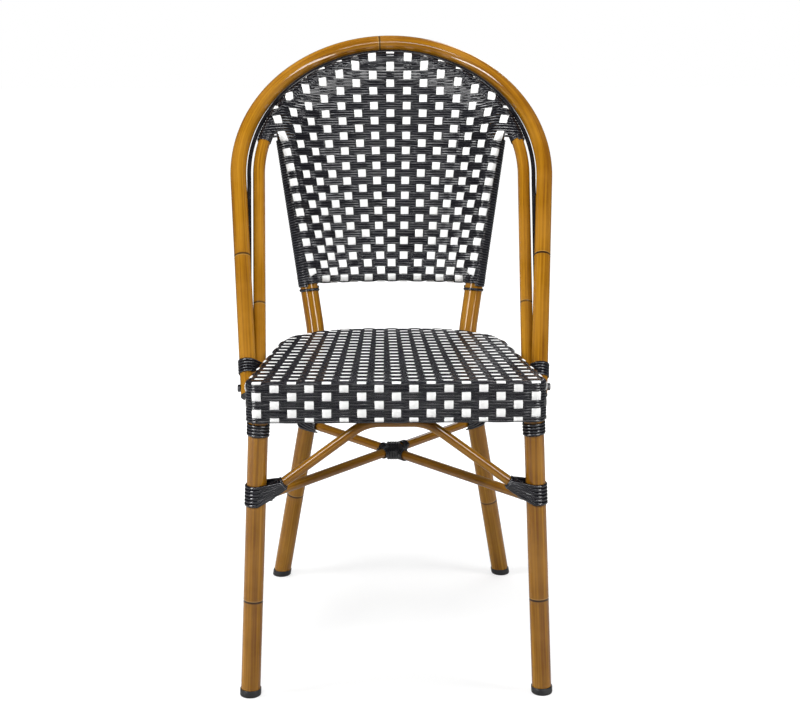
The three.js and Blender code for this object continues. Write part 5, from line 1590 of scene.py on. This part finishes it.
def back_strand(number, flat=170, wrap=24):
    tries = np.linspace(RAIL_HEIGHT, rim_height, 900)
    outside = beyond_arch(panel(column_places(tries)[:, number - 1], tries))
    clear = (tries < POST_TOP.z - 30) | (outside < arch_reach * math.sin(ARCH_TURN))
    top = tries[np.nonzero(clear)[0].max()]
    height = np.linspace(top, first_height, flat)
    x = column_places(height)[:, number - 1]
    surface, out = raised(x, height), across_both(raised, x, height)
    draped = np.clip(drape(raised, x, height, surface, out), -4, 1)
    count = (height - first_height) / BACK_PITCH + 2
    middles = surface + out * (SWING * wave(number + count / 3))[:, None]
    core, outwards = arch_spoke(math.atan2((top - inner.centre.z) / inner.up.z, x[0]))
    ring, ring_out = round_tube(
        core, outwards, plane_out, arch_reach, WRAP_START, ARCH_TURN + FULL_WRAP, wrap)
    turn = turn_at_start + np.linspace(0.06, 3.1, wrap)
    levels = np.full(wrap, RAIL_HEIGHT)
    rail_x = np.full(wrap, x[-1])
    front = across_both(panel, rail_x, levels)
    upward = np.tile(UPWARDS, (wrap, 1))
    upward = unit(upward - (upward * front).sum(1)[:, None] * front)
    low_out = upward * np.cos(turn)[:, None] + front * np.sin(turn)[:, None]
    wrapped = 2 - (turn - turn_at_start) * rail_reach / BACK_PITCH
    low = panel(rail_x, levels) + low_out * (rail_reach + SWING * wave(number + wrapped / 3))[:, None]
    undraped = np.zeros((wrap, 2))
    return (np.concatenate([ring[::-1], middles, low]), np.concatenate([ring_out[::-1], out, low_out]),
            np.concatenate([undraped, draped, undraped]))


lay_strands("back_weave_lengthwise", [back_strand(number) for number in range(1, BACK_COLUMNS + 1)],
            corners=8, **WHITE)

# %% [markdown]
# Under the strands a thin dark cord is bound round the bow of the inner arch, so that no lacquer
# shows between them. A like cord is wound round the foot of each post, below the lowest strand.

# %% Cord on the arch and the posts
CORD_PITCH = 3.9


def coil(line, reach, reference, steps=14):
    """A close winding round a curved middle line."""
    line = np.asarray(line, float)
    lengths = np.concatenate([[0], np.cumsum(np.linalg.norm(np.diff(line, axis=0), axis=1))])
    turns = lengths[-1] / CORD_PITCH
    t = np.linspace(0, turns, int(turns * steps) + 1)
    core = np.stack([np.interp(t * CORD_PITCH, lengths, line[:, i]) for i in range(3)], 1)
    ahead = unit(np.gradient(core, axis=0))
    first = np.tile(np.asarray(reference, float), (len(t), 1))
    first = unit(first - (first * ahead).sum(1)[:, None] * ahead)
    second = np.cross(ahead, first)
    angle = 2 * math.pi * t
    out = np.cos(angle)[:, None] * first + np.sin(angle)[:, None] * second
    return core + out * reach, out


bow_angles = np.linspace(EAR_ANGLE - 0.01, math.pi - EAR_ANGLE + 0.01, 160)
bow_cord = coil([inner.on_circle(angle) for angle in bow_angles], INNER_TUBE_RADIUS + 0.55, plane_out)
lay_strands("back_bow_cord", [bow_cord], **{**DARK, "width": 4.1, "thickness": 0.9, "fullness": 0.8})
post_heights = np.linspace(POST_SLEEVE_FOOT.z + 1.5, first_height - 1, 20)
post_cord = coil([at_height(HIP, post_direction, height) for height in post_heights], post_reach,
                 (0, -1, 0), steps=28)
lay_strands("back_post_cord", [post_cord, mirror_path(post_cord)],
            **{**DARK, "width": 3.9, "thickness": 1.5})

# %% [markdown]
# # What stays from the model
# The rails and bars under the weave and the sleeves on the bolts have their right shape already, so
# they only get a finish.

# %% Finish the nodes that stay
for finish, nodes in (
        (bare_metal, ("seat_hoop", "seat_front_rail", "seat_cross_bar_1", "seat_cross_bar_2",
                      "back_bottom_rail")),
        (black_plastic, ("arch_spacer_right", "arch_spacer_left"))):
    for node in nodes:
        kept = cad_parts[node]
        kept.data.materials.clear()
        kept.data.materials.append(finish)

# %% [markdown]
# Last, everything is deselected.

# %% Deselecting at the end
deselect()
